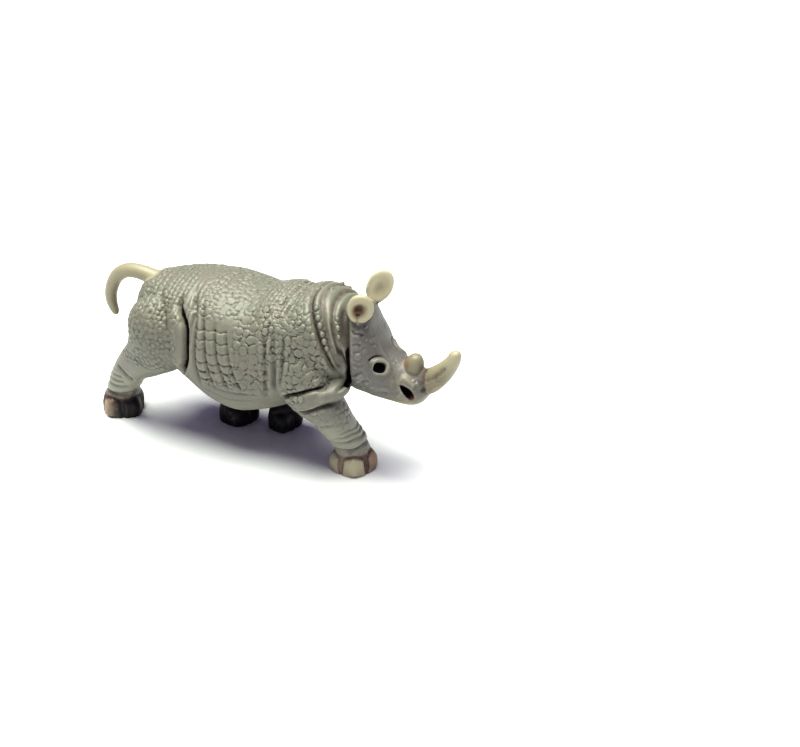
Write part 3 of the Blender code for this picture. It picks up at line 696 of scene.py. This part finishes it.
everywhere = np.ones(count)
for name, carving in CARVING.items():
    press(name, carving, everywhere, flat)
for name, carving in FACE_CARVING.items():
    press(name, carving, on_cheek, flat)
press("brow line", BROW_LINE, on_cheek * (x > FACE_START), quarter)
wander = np.random.default_rng(7)
for first, last, step, top, bottom, depth in WRINKLE_BANDS:
    for middle in np.arange(first, last, step):
        sway = wander.uniform(-0.25, 0.25, 3)
        points = ((middle + sway[0], top), (middle + sway[1], (top + bottom) / 2),
                  (middle - 0.4 + sway[2], bottom + wander.uniform(-0.8, 0.8)))
        carving = (0, WRINKLE_HALF_WIDTH, depth * wander.uniform(0.6, 1.2), points)
        press("wrinkle", carving, everywhere, flat)
ribs = [smooth_path(CARVING[name][3], 6) for name in RIB_LINES]
for left, right in zip(ribs, ribs[1:]):
    for level in np.arange(CELL_FOOT, CELL_TOP, CELL_STEP):
        level += wander.uniform(-0.35, 0.35)
        start = np.interp(level, left[::-1, 1], left[::-1, 0])
        end = np.interp(level, right[::-1, 1], right[::-1, 0])
        points = np.array(((start, level + CELL_SAG), ((start + end) / 2, level - CELL_SAG),
                           (end, level + CELL_SAG)))
        depth = CELL_DEPTH * wander.uniform(0.7, 1.1)
        low, high = np.array((start - 0.3, level - 0.8)), np.array((end + 0.3, level + 0.8))
        near = np.flatnonzero(((flat > low) & (flat < high)).all(axis=1))
        distance = from_line(flat[near], points)[0]
        lift[near] -= depth * facing[near] * bell(distance, CELL_HALF_WIDTH)


def bead(distance, radius):
    """A low round bead with a fine groove about it."""
    t = distance / radius
    return np.sqrt(np.clip(1.0 - t ** 2, 0.0, 1.0)) - 0.35 * bell(t - 1.12, 0.18)


for points, radius, height, spacing in PEARL_ROWS:
    line = smooth_path(points, 6)
    gone = np.concatenate(([0.0], np.cumsum(np.linalg.norm(np.diff(line, axis=0), axis=1))))
    for reach in np.arange(0.3, gone[-1], spacing):
        reach += wander.uniform(-0.12, 0.12)
        middle = np.array([np.interp(reach, gone, line[:, k]) for k in (0, 1)])
        size = radius * wander.uniform(0.85, 1.15)
        close = np.flatnonzero((np.abs(flat - middle) < 2.5).all(axis=1))
        for side in (-1, 1):
            on_side = close[side * y[close] > 0.0]
            seed = on_side[np.argmin(np.linalg.norm(flat[on_side] - middle, axis=1)
                                     - 0.4 * (facing[on_side] > 0.8))]
            distance = np.linalg.norm(places[on_side] - places[seed], axis=1)
            lift[on_side] += height * (distance < BEAD_REACH * size) * bead(distance, size)
for *middle, radius, height in BUMPS:
    distance = np.linalg.norm((mirrored - middle) * (1.0, 0.6, 1.0), axis=1)
    near = distance < BEAD_REACH * radius
    lift[near] += height * bead(distance[near], radius) * np.where(near_side[near], 1.0, 0.35)

# The throat's painted shade stops below the withers
paint["ink_and_shade"] *= 1.0 - between(x, 16.0, 17.0, 22.0, 23.0) * eased(z, 22.5, 26.0)


def from_opening(middle, half_sizes, turn, squareness, flare):
    """How far each place lies from the middle of an oval on the face: one on its edge."""
    across, over = quarter.T - np.array(middle)[:, None]
    along = (across * math.cos(turn) + over * math.sin(turn)) / half_sizes[0]
    beside = (over * math.cos(turn) - across * math.sin(turn)) / half_sizes[1]
    beside /= 1.0 + flare * np.clip(along, -1.5, 1.5)
    return (np.abs(along) ** squareness + np.abs(beside) ** squareness) ** (1.0 / squareness)


# Eyes: a dark almond set in, painted black, inside two thick lids; and the open mouth, its opening
# filled with painted shade
from_eye = from_opening(*SOCKET)
from_lid = from_opening(*UPPER_LID)
on_face = eased(np.abs(y), 1.0, 2.0) * (x > FACE_START) * (x < 28.0) * (z > 17.0) * (z < 25.0)
on_face = on_face * np.where(near_side, 1.0, 0.7)
lift += EYE_BULGE * on_face * bell(from_lid, 1.15)
lift -= SOCKET_DEPTH * on_face * eased(from_eye, 1.10, 0.80)
lift += UPPER_LID_HEIGHT * on_face * eased(from_lid, 1.10, 0.70) * eased(from_eye, 0.9, 1.2)
lift += LOWER_LID_HEIGHT * on_face * bell(from_eye - 1.45, 0.28)
lay("ink_and_shade", on_face * (1.5 - from_eye))
# painted highlight: the upper lid paler, as if lit from above
lay("wear_and_highlight", 0.26 * on_face * eased(from_lid, 1.05, 0.75))
from_mouth = from_opening(*MOUTH)
on_snout = eased(np.abs(y), 0.9, 1.7) * (x > SNOUT_START)
lift -= MOUTH_DEPTH * on_snout * eased(from_mouth, 1.15, 0.55)
lay("ink_and_shade", on_snout * np.minimum(1.5 - from_mouth, 1.0 - 0.5 * eased(x, 29.6, 30.4)))
lay("brown", on_snout * eased(from_mouth, 1.1, 0.8))

# The gap between neck and head opens out into a hollow at the throat, filled with painted black
# shade
from_gap = from_opening(*NECK_GAP)
at_throat = (x > 17.5) * (x < 22.0)
lift -= NECK_GAP_DEPTH * at_throat * eased(from_gap, 1.3, 0.5)
lay("ink_and_shade", at_throat * (1.42 - from_gap))

# The forehead falls away to the dished nose
lift -= FOREHEAD_DEPTH * bell(x - 23.0, 1.3) * bell(z - 26.0, 2.0)
lift -= NOSE_DISH_DEPTH * bell(x - 25.6, 1.7) * bell(z - 22.8, 1.5) * (1.0 - on_face * near_side)
paint["ink_and_shade"] *= 1.0 - (y > 0.0) * eased(x, 21.0, 22.0) * eased(z, 20.5, 21.5)

# Rings and wrinkles round the lower legs
for name, height, half_width, depth in LEG_RINGS:
    foot_x, foot_y = FEET[name][:2]
    level = z - height - RING_TILT * (x - foot_x) + 0.12 * np.sin(1.7 * y + height)
    strength = eased(np.hypot(x - foot_x, y - foot_y), RING_REACH, RING_REACH - 0.6)
    lift -= depth * strength * bell(level, half_width)

# The mould's seam: a lumpy thread of flash along the top of the neck
on_seam = between(x, 9.6, 11.0, 14.6, 15.6) * (normals[:, 2] > 0.4)
lumps = np.clip(np.sin(3.1 * x) + 0.6 * np.sin(7.3 * x + 1.0), 0.0, 1.2)
flash = lumps * on_seam * bell(y - 0.2, 0.28)
lift += FLASH_HEIGHT * flash
lay("wear_and_highlight", np.clip(0.8 * flash, 0.0, 0.8))


# What the paint follows, part by part: bare cream on horns, ears, tail and lips, brown wash on
# hooves, mouth and ear cups, painted brown shade at the ears' roots and beside the mouth, and
# painted light on the far ear, which is paler than the near one
def near_path(stations, first, margin):
    """How far inside a horn or the tail each place is: one within its radius and margin."""
    inside = np.zeros(count)
    for row_x, row_z, radius in smooth_path(stations[first:], 12):
        distance = np.sqrt((x - row_x) ** 2 + y ** 2 + (z - row_z) ** 2)
        inside = np.maximum(inside, eased(distance / (radius + margin), 1.28, 0.88))
    return inside


on_horn = near_path(FRONT_HORN, 1, 0.15)
on_stub = near_path(REAR_HORN, 2, 0.30)
from_nose = x + 0.155 * (z - 16.7)
lay("cream", on_horn * eased(from_nose, 31.7, 32.7))
lay("cream", on_stub)
lay("cream", 0.85 * near_path(TAIL, 1, 0.45) * eased(x, -16.4, -17.4))
lay("pale", 0.46 * on_horn * eased(z, 19.5, 23.5) + 0.28 * (x < -16.0))
lay("brown", 0.60 * on_horn * bell(from_nose - 32.1, 0.5))
lay("brown", 0.36 * on_horn * eased(z, 22.5, 18.5))
lay("rust", 0.5 * on_snout * eased(x, 29.6, 30.6) * bell(from_mouth - 0.95, 0.25))
lay("rust", 0.35 * on_stub * eased(x, 29.6, 28.4))
for name, shape in EARS.items():
    middle, half_height, width_way, height_way, opens = ear_axes(shape)
    ways = np.column_stack((width_way, height_way, opens))
    from_middle = (places - np.array(middle)) @ ways
    wide, high, deep = (from_middle / (shape[4], half_height, shape[5])).T
    reach = np.sqrt(wide ** 2 + high ** 2)
    leaf = eased(reach, 1.35, 1.15) * eased(high, -0.96, -0.72)
    leaf *= eased(np.abs(deep) - 0.5 * high, 1.60, 1.30)
    cup = eased(np.hypot(wide + 0.16, high + 0.10), 0.58, 0.0) * (deep > -0.95) * leaf
    notch = bell(wide + 0.12, 0.14) * (high < -0.30) * (deep > -0.6) * leaf
    is_near = name == "near_ear"
    lay("cream", leaf)
    # painted light: the far ear, which gets less of the lamp, is painted paler than the near one
    lay("pale", leaf * (0.55 if is_near else 1.0))
    if is_near:
        lift -= 0.30 * cup + 0.20 * notch
        lay("brown", 0.42 * np.maximum(cup ** 2, 0.5 * notch))
    lay("rust", cup * (0.95 if is_near else 0.22))
    # painted shade where the ear joins the head
    base = eased(np.abs(high + 0.86), 0.22, 0.05) * (reach < 1.3) * (np.abs(deep) < 1.5)
    lay("brown", 0.5 * base)
for lip_x, lip_z, half_length, half_height, share in LIPS:
    lay("wear_and_highlight", share * on_snout * bell(x - lip_x, half_length) * bell(z - lip_z, half_height))
lay("brown", 0.70 * eased(np.hypot(x - 31.9, z - 17.3), 0.90, 0.10))
# painted shade beside the mouth
lay("brown", 0.30 * on_snout * bell(x - 27.2, 0.8) * bell(z - 16.6, 2.0))

# Feet: the nails' rims and crowns, brown between them, and painted shade on the far legs and on the
# inner side of the near hind hoof
for name, (foot_x, foot_y, half_length, half_width) in FEET.items():
    from_sole = places[:, :2] - (foot_x, foot_y)
    reach = np.hypot(*(from_sole / (half_length, half_width)).T)
    in_foot = reach < 1.6
    hoof = eased(z, 4.3, 3.3) * in_foot
    coronet = bell(z - 4.3, 0.9) * in_foot
    nail = np.zeros(count)
    for step in (-1, 0, 1):
        turn = math.radians(NAIL_TURN[name] + step * NAIL_SPREAD)
        ahead = (from_sole @ (math.cos(turn), math.sin(turn)) > 0.8) * in_foot
        across = np.abs(from_sole @ (-math.sin(turn), math.cos(turn)))
        edge, crown = across + 0.10 * z, z + 0.25 * across ** 2
        on_nail = eased(edge, 2.00, 1.68) * eased(crown, 3.6, 3.0)
        nail = np.maximum(nail, on_nail * ahead)
        rim = bell(edge - 2.05, 0.22) * (crown < 3.9)
        rim = np.maximum(rim, bell(crown - 3.75, 0.26) * (edge < 2.1))
        lift -= NAIL_RIM_DEPTH * rim * ahead
        lift += NAIL_RISE * on_nail * ahead * eased(z, 0.0, 0.6)
        if step == 1:
            lay("rust", 0.5 * np.maximum(on_nail, rim) * ahead * hoof)
    inner = eased(from_sole[:, 0], -1.5, 1.5)
    share = 0.22 + 0.40 * inner
    if name.startswith("near"):
        lay("pale", 0.50 * hoof)
    else:
        # painted shade on the far legs, darkest low down
        lay("shade", eased(z, 9.0, 5.0) * (reach < 2.4) * (y > 0.0))
        share, nail = 1.0, nail * 0.3
    if name == "near_fore":
        lay("rust", 0.45 * hoof * (1.0 - nail))
    if name == "near_hind":
        share = 0.85
        nail *= 0.80 - 0.60 * inner
        # painted shade on the inner side of the near hind hoof
        lay("shade", 0.9 * hoof * eased(from_sole[:, 0], -0.4, 1.4) * near_side)
        lay("rust", 0.5 * hoof * (1.0 - inner))
    lay("cream", 0.90 * np.maximum(nail, 0.4 - 0.4 * inner) * hoof)
    lay("brown", share * np.maximum(hoof * (1.0 - 0.85 * nail), 0.65 * coronet))

# Where the scales lie: the big ones from the ribs to the collar, but few on the shoulder folds and
# the elbow roll, the small ones on rump and head, and the patches named above
not_cream = 1.0 - paint["cream"]
from_collar = x - np.interp(z, COLLAR_Z, COLLAR_X)
big = eased(x, 1.0, 2.4) * eased(from_collar, -0.3, -0.8) * eased(z, 13.2, 14.6)
big *= eased(x, 19.5, 18.5) * eased(z, 9.0, 11.0)
big *= 1.0 - bell(x - 9.0, 1.9) * eased(z, 22.5, 19.0)
small = eased(x, -7.6, -8.6) * eased(z, 12.4, 14.0)
small = np.maximum(small, 0.30 * eased(x, 18.6, 20.0) * eased(z, 16.0, 17.0) * (from_eye > 2.3))
masks = {"big_scales": big, "small_scales": small * not_cream}
for mask, share, x_edges, z_edges in SCALE_PATCHES:
    patch = share * between(x, *x_edges) * between(z, *z_edges)
    masks[mask] = np.maximum(masks[mask], patch)
on_roll = eased(x, 12.0, 13.4) * between(z, 13.6, 14.4, 17.0, 17.6) * near_side
masks["big_scales"] *= 1.0 - 0.97 * on_roll * eased(x - 0.9 * (z - 15.5), 12.6, 13.6)
for mask in masks.values():
    mask[outward < -0.2] = 0.0
rise = np.maximum(masks["big_scales"] * 2.2, masks["small_scales"] * 0.85)
rise = np.clip(rise, 0.0, 1.0) * eased(paint["ink_and_shade"], 0.5, 0.1)
rise *= 0.76 + 0.24 * np.sin(0.85 * x + 0.6 * z) * np.sin(0.55 * z - 0.7 * x + 1.0)
rise *= (1.0 - 0.20 * eased(z, 26.0, 29.0)) * eased(from_eye, 2.1, 2.5)
rise *= 1.0 - np.clip(paint["cream"] * 1.5, 0.0, 1.0)
places += normals * lift[:, None]
figure.data.vertices.foreach_set("co", places.ravel())
size = 1.0 + 0.22 * eased(8.0 - x, 0.0, 4.0) - 0.16 * eased(z, 24.0, 27.0)
for name, values in {**masks, "scale_rise": rise, "scale_size": size}.items():
    store(name, values)
figure.data.update()

# The scales: discs scattered over the skin in four layers, the higher disc hiding the lower.
# Mask, spacing, radius, seed
SCALE_LAYERS = (
    ("small_scales", 0.80, 0.40, 9),
    ("big_scales", 1.02, 0.56, 0),
    ("big_scales", 1.35, 0.60, 5),
    ("big_scales", 2.10, 0.66, 13),
)
SCALE_DENSITY = 12.0
SCALE_DOME = 0.28
GROOVE_DEPTH = -0.80
SCALE_RISE = 0.14
SCALE_SEED = 3

tree = nodes = bpy.data.node_groups.new("scale relief", "GeometryNodeTree")
for name, way, kind in (("Geometry", "INPUT", "Geometry"), ("Seed", "INPUT", "Int"),
                        ("Rise", "INPUT", "Float"), ("Plastic", "INPUT", "Material"),
                        ("Geometry", "OUTPUT", "Geometry")):
    tree.interface.new_socket(name, in_out=way, socket_type="NodeSocket" + kind)


def feed(node, inputs):
    """Feed a node's inputs with other nodes' outputs, or with plain values."""
    for key, value in inputs.items():
        if isinstance(value, bpy.types.NodeSocket):
            nodes.links.new(value, node.inputs[key])
        else:
            node.inputs[key].default_value = value


def add(kind, inputs=None, **settings):
    """The outputs of a new node in the tree being built, with its settings and inputs."""
    node = nodes.nodes.new(kind)
    for name, value in settings.items():
        setattr(node, name, value)
    feed(node, inputs or {})
    return node.outputs


def math_node(operation, *values):
    """A math node's output."""
    return add("ShaderNodeMath", dict(enumerate(values)), operation=operation)["Value"]


def times(*values):
    """The product of the tree's values."""
    product = values[0]
    for value in values[1:]:
        product = math_node("MULTIPLY", product, value)
    return product


def ramp(value, start, end, low=0.0, high=1.0):
    """A smooth step from one value to another."""
    return add("ShaderNodeMapRange",
               {"Value": value, "From Min": start, "From Max": end, "To Min": low, "To Max": high},
               interpolation_type="SMOOTHSTEP")["Result"]


def named(name):
    """A stored attribute of the skin."""
    return add("GeometryNodeInputNamedAttribute", {"Name": name})["Attribute"]


given = add("NodeGroupInput")
here = add("GeometryNodeInputPosition")[0]
level = 0.0
for mask, spacing, radius, seed in SCALE_LAYERS:
    points = add("GeometryNodeDistributePointsOnFaces",
                 {"Mesh": given["Geometry"], "Distance Min": spacing,
                  "Density Max": SCALE_DENSITY, "Density Factor": named(mask),
                  "Seed": math_node("ADD", given["Seed"], seed)},
                 distribute_method="POISSON")["Points"]
    nearest = add("GeometryNodeSampleNearest", {"Geometry": points})["Index"]
    middle = add("GeometryNodeSampleIndex",
                 {"Geometry": points, "Value": here, "Index": nearest},
                 data_type="FLOAT_VECTOR")["Value"]
    gap = add("ShaderNodeVectorMath", {0: here, 1: middle}, operation="DISTANCE")["Value"]
    breadth, height = [
        add("FunctionNodeRandomValue", {2: low, 3: high, "ID": nearest, "Seed": seed + turn},
            data_type="FLOAT")[1]
        for low, high, turn in ((0.78, 1.15, 1), (0.62, 1.0, 2))]
    share = math_node("DIVIDE", gap, times(breadth, radius, named("scale_size")))
    dome = math_node("SUBTRACT", 1.0, times(share, share, SCALE_DOME))
    rim = math_node("ABSOLUTE", math_node("SUBTRACT", share, 1.12))
    groove = times(ramp(rim, 0.20, 0.0), GROOVE_DEPTH)
    around = math_node("MINIMUM", level, math_node("ADD", level, groove))
    gain = times(math_node("SUBTRACT", times(dome, height), around),
                 ramp(share, 1.02, 0.82))
    level = math_node("ADD", around, gain)
push = add("ShaderNodeVectorMath",
           {0: add("GeometryNodeInputNormal")[0],
            "Scale": times(level, named("scale_rise"), given["Rise"])}, operation="SCALE")[0]
lifted = add("GeometryNodeSetPosition", {"Geometry": given["Geometry"], "Offset": push})
whole = add("GeometryNodeRealizeInstances", {"Geometry": lifted["Geometry"]})
painted = add("GeometryNodeSetMaterial",
              {"Geometry": whole["Geometry"], "Material": given["Plastic"]})
add("NodeGroupOutput", {"Geometry": painted["Geometry"]})

plastic = bpy.data.materials.new("painted vinyl")
relief = figure.modifiers.new("scale relief", "NODES")
relief.node_group = tree
settings = {"Seed": SCALE_SEED, "Rise": SCALE_RISE, "Plastic": plastic}
for item in tree.interface.items_tree:
    if item.name in settings:
        relief[item.identifier] = settings[item.name]
bake(figure)

# Hollows and bumps, from how far each place lies below its softened surroundings
SOFTENING_PASSES = 14
FULL_HOLLOW = 0.11

edges = np.empty(len(figure.data.edges) * 2, dtype=np.int32)
figure.data.edges.foreach_get("vertices", edges)
one, other = edges.reshape(-1, 2).T
places, normals = skin()
links = np.bincount(one, minlength=count) + np.bincount(other, minlength=count)
soft = places.copy()
for turn in range(SOFTENING_PASSES):
    total = np.empty_like(soft)
    for k in range(3):
        total[:, k] = (np.bincount(one, soft[other, k], count)
                       + np.bincount(other, soft[one, k], count))
    soft = 0.4 * soft + 0.6 * total / links[:, None]
hollow = ((soft - places) * normals).sum(axis=1)
paint["hollow"] = np.clip(hollow / FULL_HOLLOW, -1.0, 1.0)

# Fewer triangles, flat soles, and the paint's guides carried over from the dense skin
dense = KDTree(count)
for index, place in enumerate(places):
    dense.insert(place, index)
dense.balance()
thin = figure.modifiers.new("fewer triangles", "DECIMATE")
thin.ratio = TRIANGLES / (2.0 * len(figure.data.polygons))
bake(figure)
mesh = bmesh.new()
mesh.from_mesh(figure.data)
everything = mesh.verts[:] + mesh.edges[:] + mesh.faces[:]
cut = bmesh.ops.bisect_plane(mesh, geom=everything, plane_co=(0, 0, 0), plane_no=(0, 0, 1),
                             clear_inner=True)
rims = [item for item in cut["geom_cut"] if isinstance(item, bmesh.types.BMEdge)]
soles = bmesh.ops.holes_fill(mesh, edges=rims, sides=0)["faces"]
for edge in rims:
    edge.smooth = False
bmesh.ops.triangulate(mesh, faces=soles)
bmesh.ops.recalc_face_normals(mesh, faces=mesh.faces)
for face in mesh.faces:
    face.smooth = True
mesh.to_mesh(figure.data)
mesh.free()
nearest = np.array([dense.find(vert.co)[1] for vert in figure.data.vertices])
for name in list(figure.data.attributes.keys()):
    if name.startswith(("big_", "small_", "scale_")):
        figure.data.attributes.remove(figure.data.attributes[name])
for name, values in paint.items():
    store(name, values[nearest])
corners = np.array([corner[:] for corner in figure.bound_box])
middle = (corners.min(axis=0) + corners.max(axis=0)) / 2
figure.data.transform(Matrix.Translation((-middle[0], -middle[1], 0.0)))
figure.data.transform(Matrix.Scale(unit, 4))

# The paint, with painted shade and light laid into it
GREY = (0.200, 0.201, 0.155, 1.0)
GREY_WARM = (0.216, 0.202, 0.160, 1.0)
HEAD_GREY = (0.166, 0.156, 0.140, 1.0)
CREAM = (0.280, 0.252, 0.170, 1.0)
PALE_CREAM = (0.620, 0.570, 0.390, 1.0)
BROWN = (0.085, 0.040, 0.032, 1.0)
RUST = (0.270, 0.120, 0.072, 1.0)
SHADE = (0.010, 0.006, 0.008, 1.0)
INK_AND_SHADE = (0.006, 0.004, 0.006, 1.0)
PAINTED_HOLLOW_SHADE = (0.060, 0.052, 0.048, 1.0)
RUBBED_AND_LIT_GREY = (0.380, 0.380, 0.295, 1.0)
GRIT_HEIGHT = 0.06

plastic.use_nodes = True
nodes = plastic.node_tree
in_shares = add("ShaderNodeMapping",
                {"Vector": add("ShaderNodeTexCoord")["Object"],
                 "Scale": (1.0 / unit,) * 3,
                 "Location": (float(middle[0]), float(middle[1]), 0.0)})["Vector"]
axes = add("ShaderNodeSeparateXYZ", {0: in_shares})


def mixed(factor, first, second):
    """Two colours mixed by a mask."""
    return add("ShaderNodeMix", {0: factor, 6: first, 7: second}, data_type="RGBA")[2]


def guide(name):
    """One of the paint's guides."""
    return add("ShaderNodeAttribute", attribute_name=name)["Fac"]


def noise(scale, detail):
    """Noise over the skin, per share of length."""
    return add("ShaderNodeTexNoise",
               {"Vector": in_shares, "Scale": scale, "Detail": detail})["Fac"]


cloud, mottle, grain = noise(0.22, 2.0), noise(0.9, 2.0), noise(3.2, 3.0)
hollow, ink_and_shade = guide("hollow"), guide("ink_and_shade")
wear = math_node("MULTIPLY_ADD", math_node("ADD", grain, mottle), 0.35, -0.35)
bare = math_node("MULTIPLY_ADD", wear, 0.4, guide("cream"))
brown_stain_and_shade = math_node("MULTIPLY_ADD", wear, 1.2, guide("brown"))
cream_paint = mixed(guide("pale"), CREAM, PALE_CREAM)
colour = mixed(ramp(cloud, 0.35, 0.65), GREY, GREY_WARM)
for mask, over in ((ramp(axes["X"], 18.5, 21.0), HEAD_GREY),
                   # painted shade: the body darker towards the belly
                   (ramp(axes["Z"], 22.0, 13.0, 0.0, 0.42), HEAD_GREY),
                   # painted light: the lower legs paler, as the lamp overhead reaches them less
                   (ramp(axes["Z"], 13.0, 7.0, 0.0, 0.60), RUBBED_AND_LIT_GREY),
                   # paler on the raised parts
                   (ramp(hollow, 0.0, -0.9, 0.0, 0.40), RUBBED_AND_LIT_GREY),
                   # pale rubbed grain at random
                   (ramp(grain, 0.35, 0.75, 0.0, 0.12), RUBBED_AND_LIT_GREY),
                   (ramp(bare, 0.25, 0.75), cream_paint),
                   # worn pale paint on the lips and the seam's lumps, and a painted highlight on
                   # the upper lids
                   (guide("wear_and_highlight"), cream_paint),
                   (guide("rust"), RUST),
                   # brown wash on hooves, ear cups and mouth, and painted brown shade along the
                   # creases, at the ear roots and beside the mouth
                   (ramp(brown_stain_and_shade, 0.15, 0.85), BROWN),
                   # painted shade in the hollows
                   (ramp(hollow, 0.10, 0.95, 0.0, 0.66), PAINTED_HOLLOW_SHADE),
                   # painted shade on the far legs and the near hind hoof
                   (guide("shade"), SHADE),
                   # black paint on the eyes, and painted shade in the deep creases, the mouth and
                   # the throat
                   (ramp(ink_and_shade, 0.38, 0.62), INK_AND_SHADE)):
    colour = mixed(mask, colour, over)
rough = math_node("ADD", ramp(grain, 0.3, 0.7, 0.42, 0.56),
                  ramp(hollow, 0.0, 0.8, 0.0, 0.15))
grit = math_node("MULTIPLY_ADD", noise(7.0, 2.0), 0.3, noise(2.2, 4.0))
bump = add("ShaderNodeBump",
           {"Strength": 0.5, "Distance": GRIT_HEIGHT * unit, "Height": grit})["Normal"]
feed(nodes.nodes["Principled BSDF"],
     {"Base Color": colour, "Roughness": rough, "Coat Roughness": 0.22, "Normal": bump,
      "Coat Weight": ramp(ink_and_shade, 0.40, 0.60, 0.18, 0.0),
      "Specular IOR Level": ramp(ink_and_shade, 0.40, 0.60, 0.5, 0.1)})

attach(figure, "root")
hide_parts("rhinoceros")
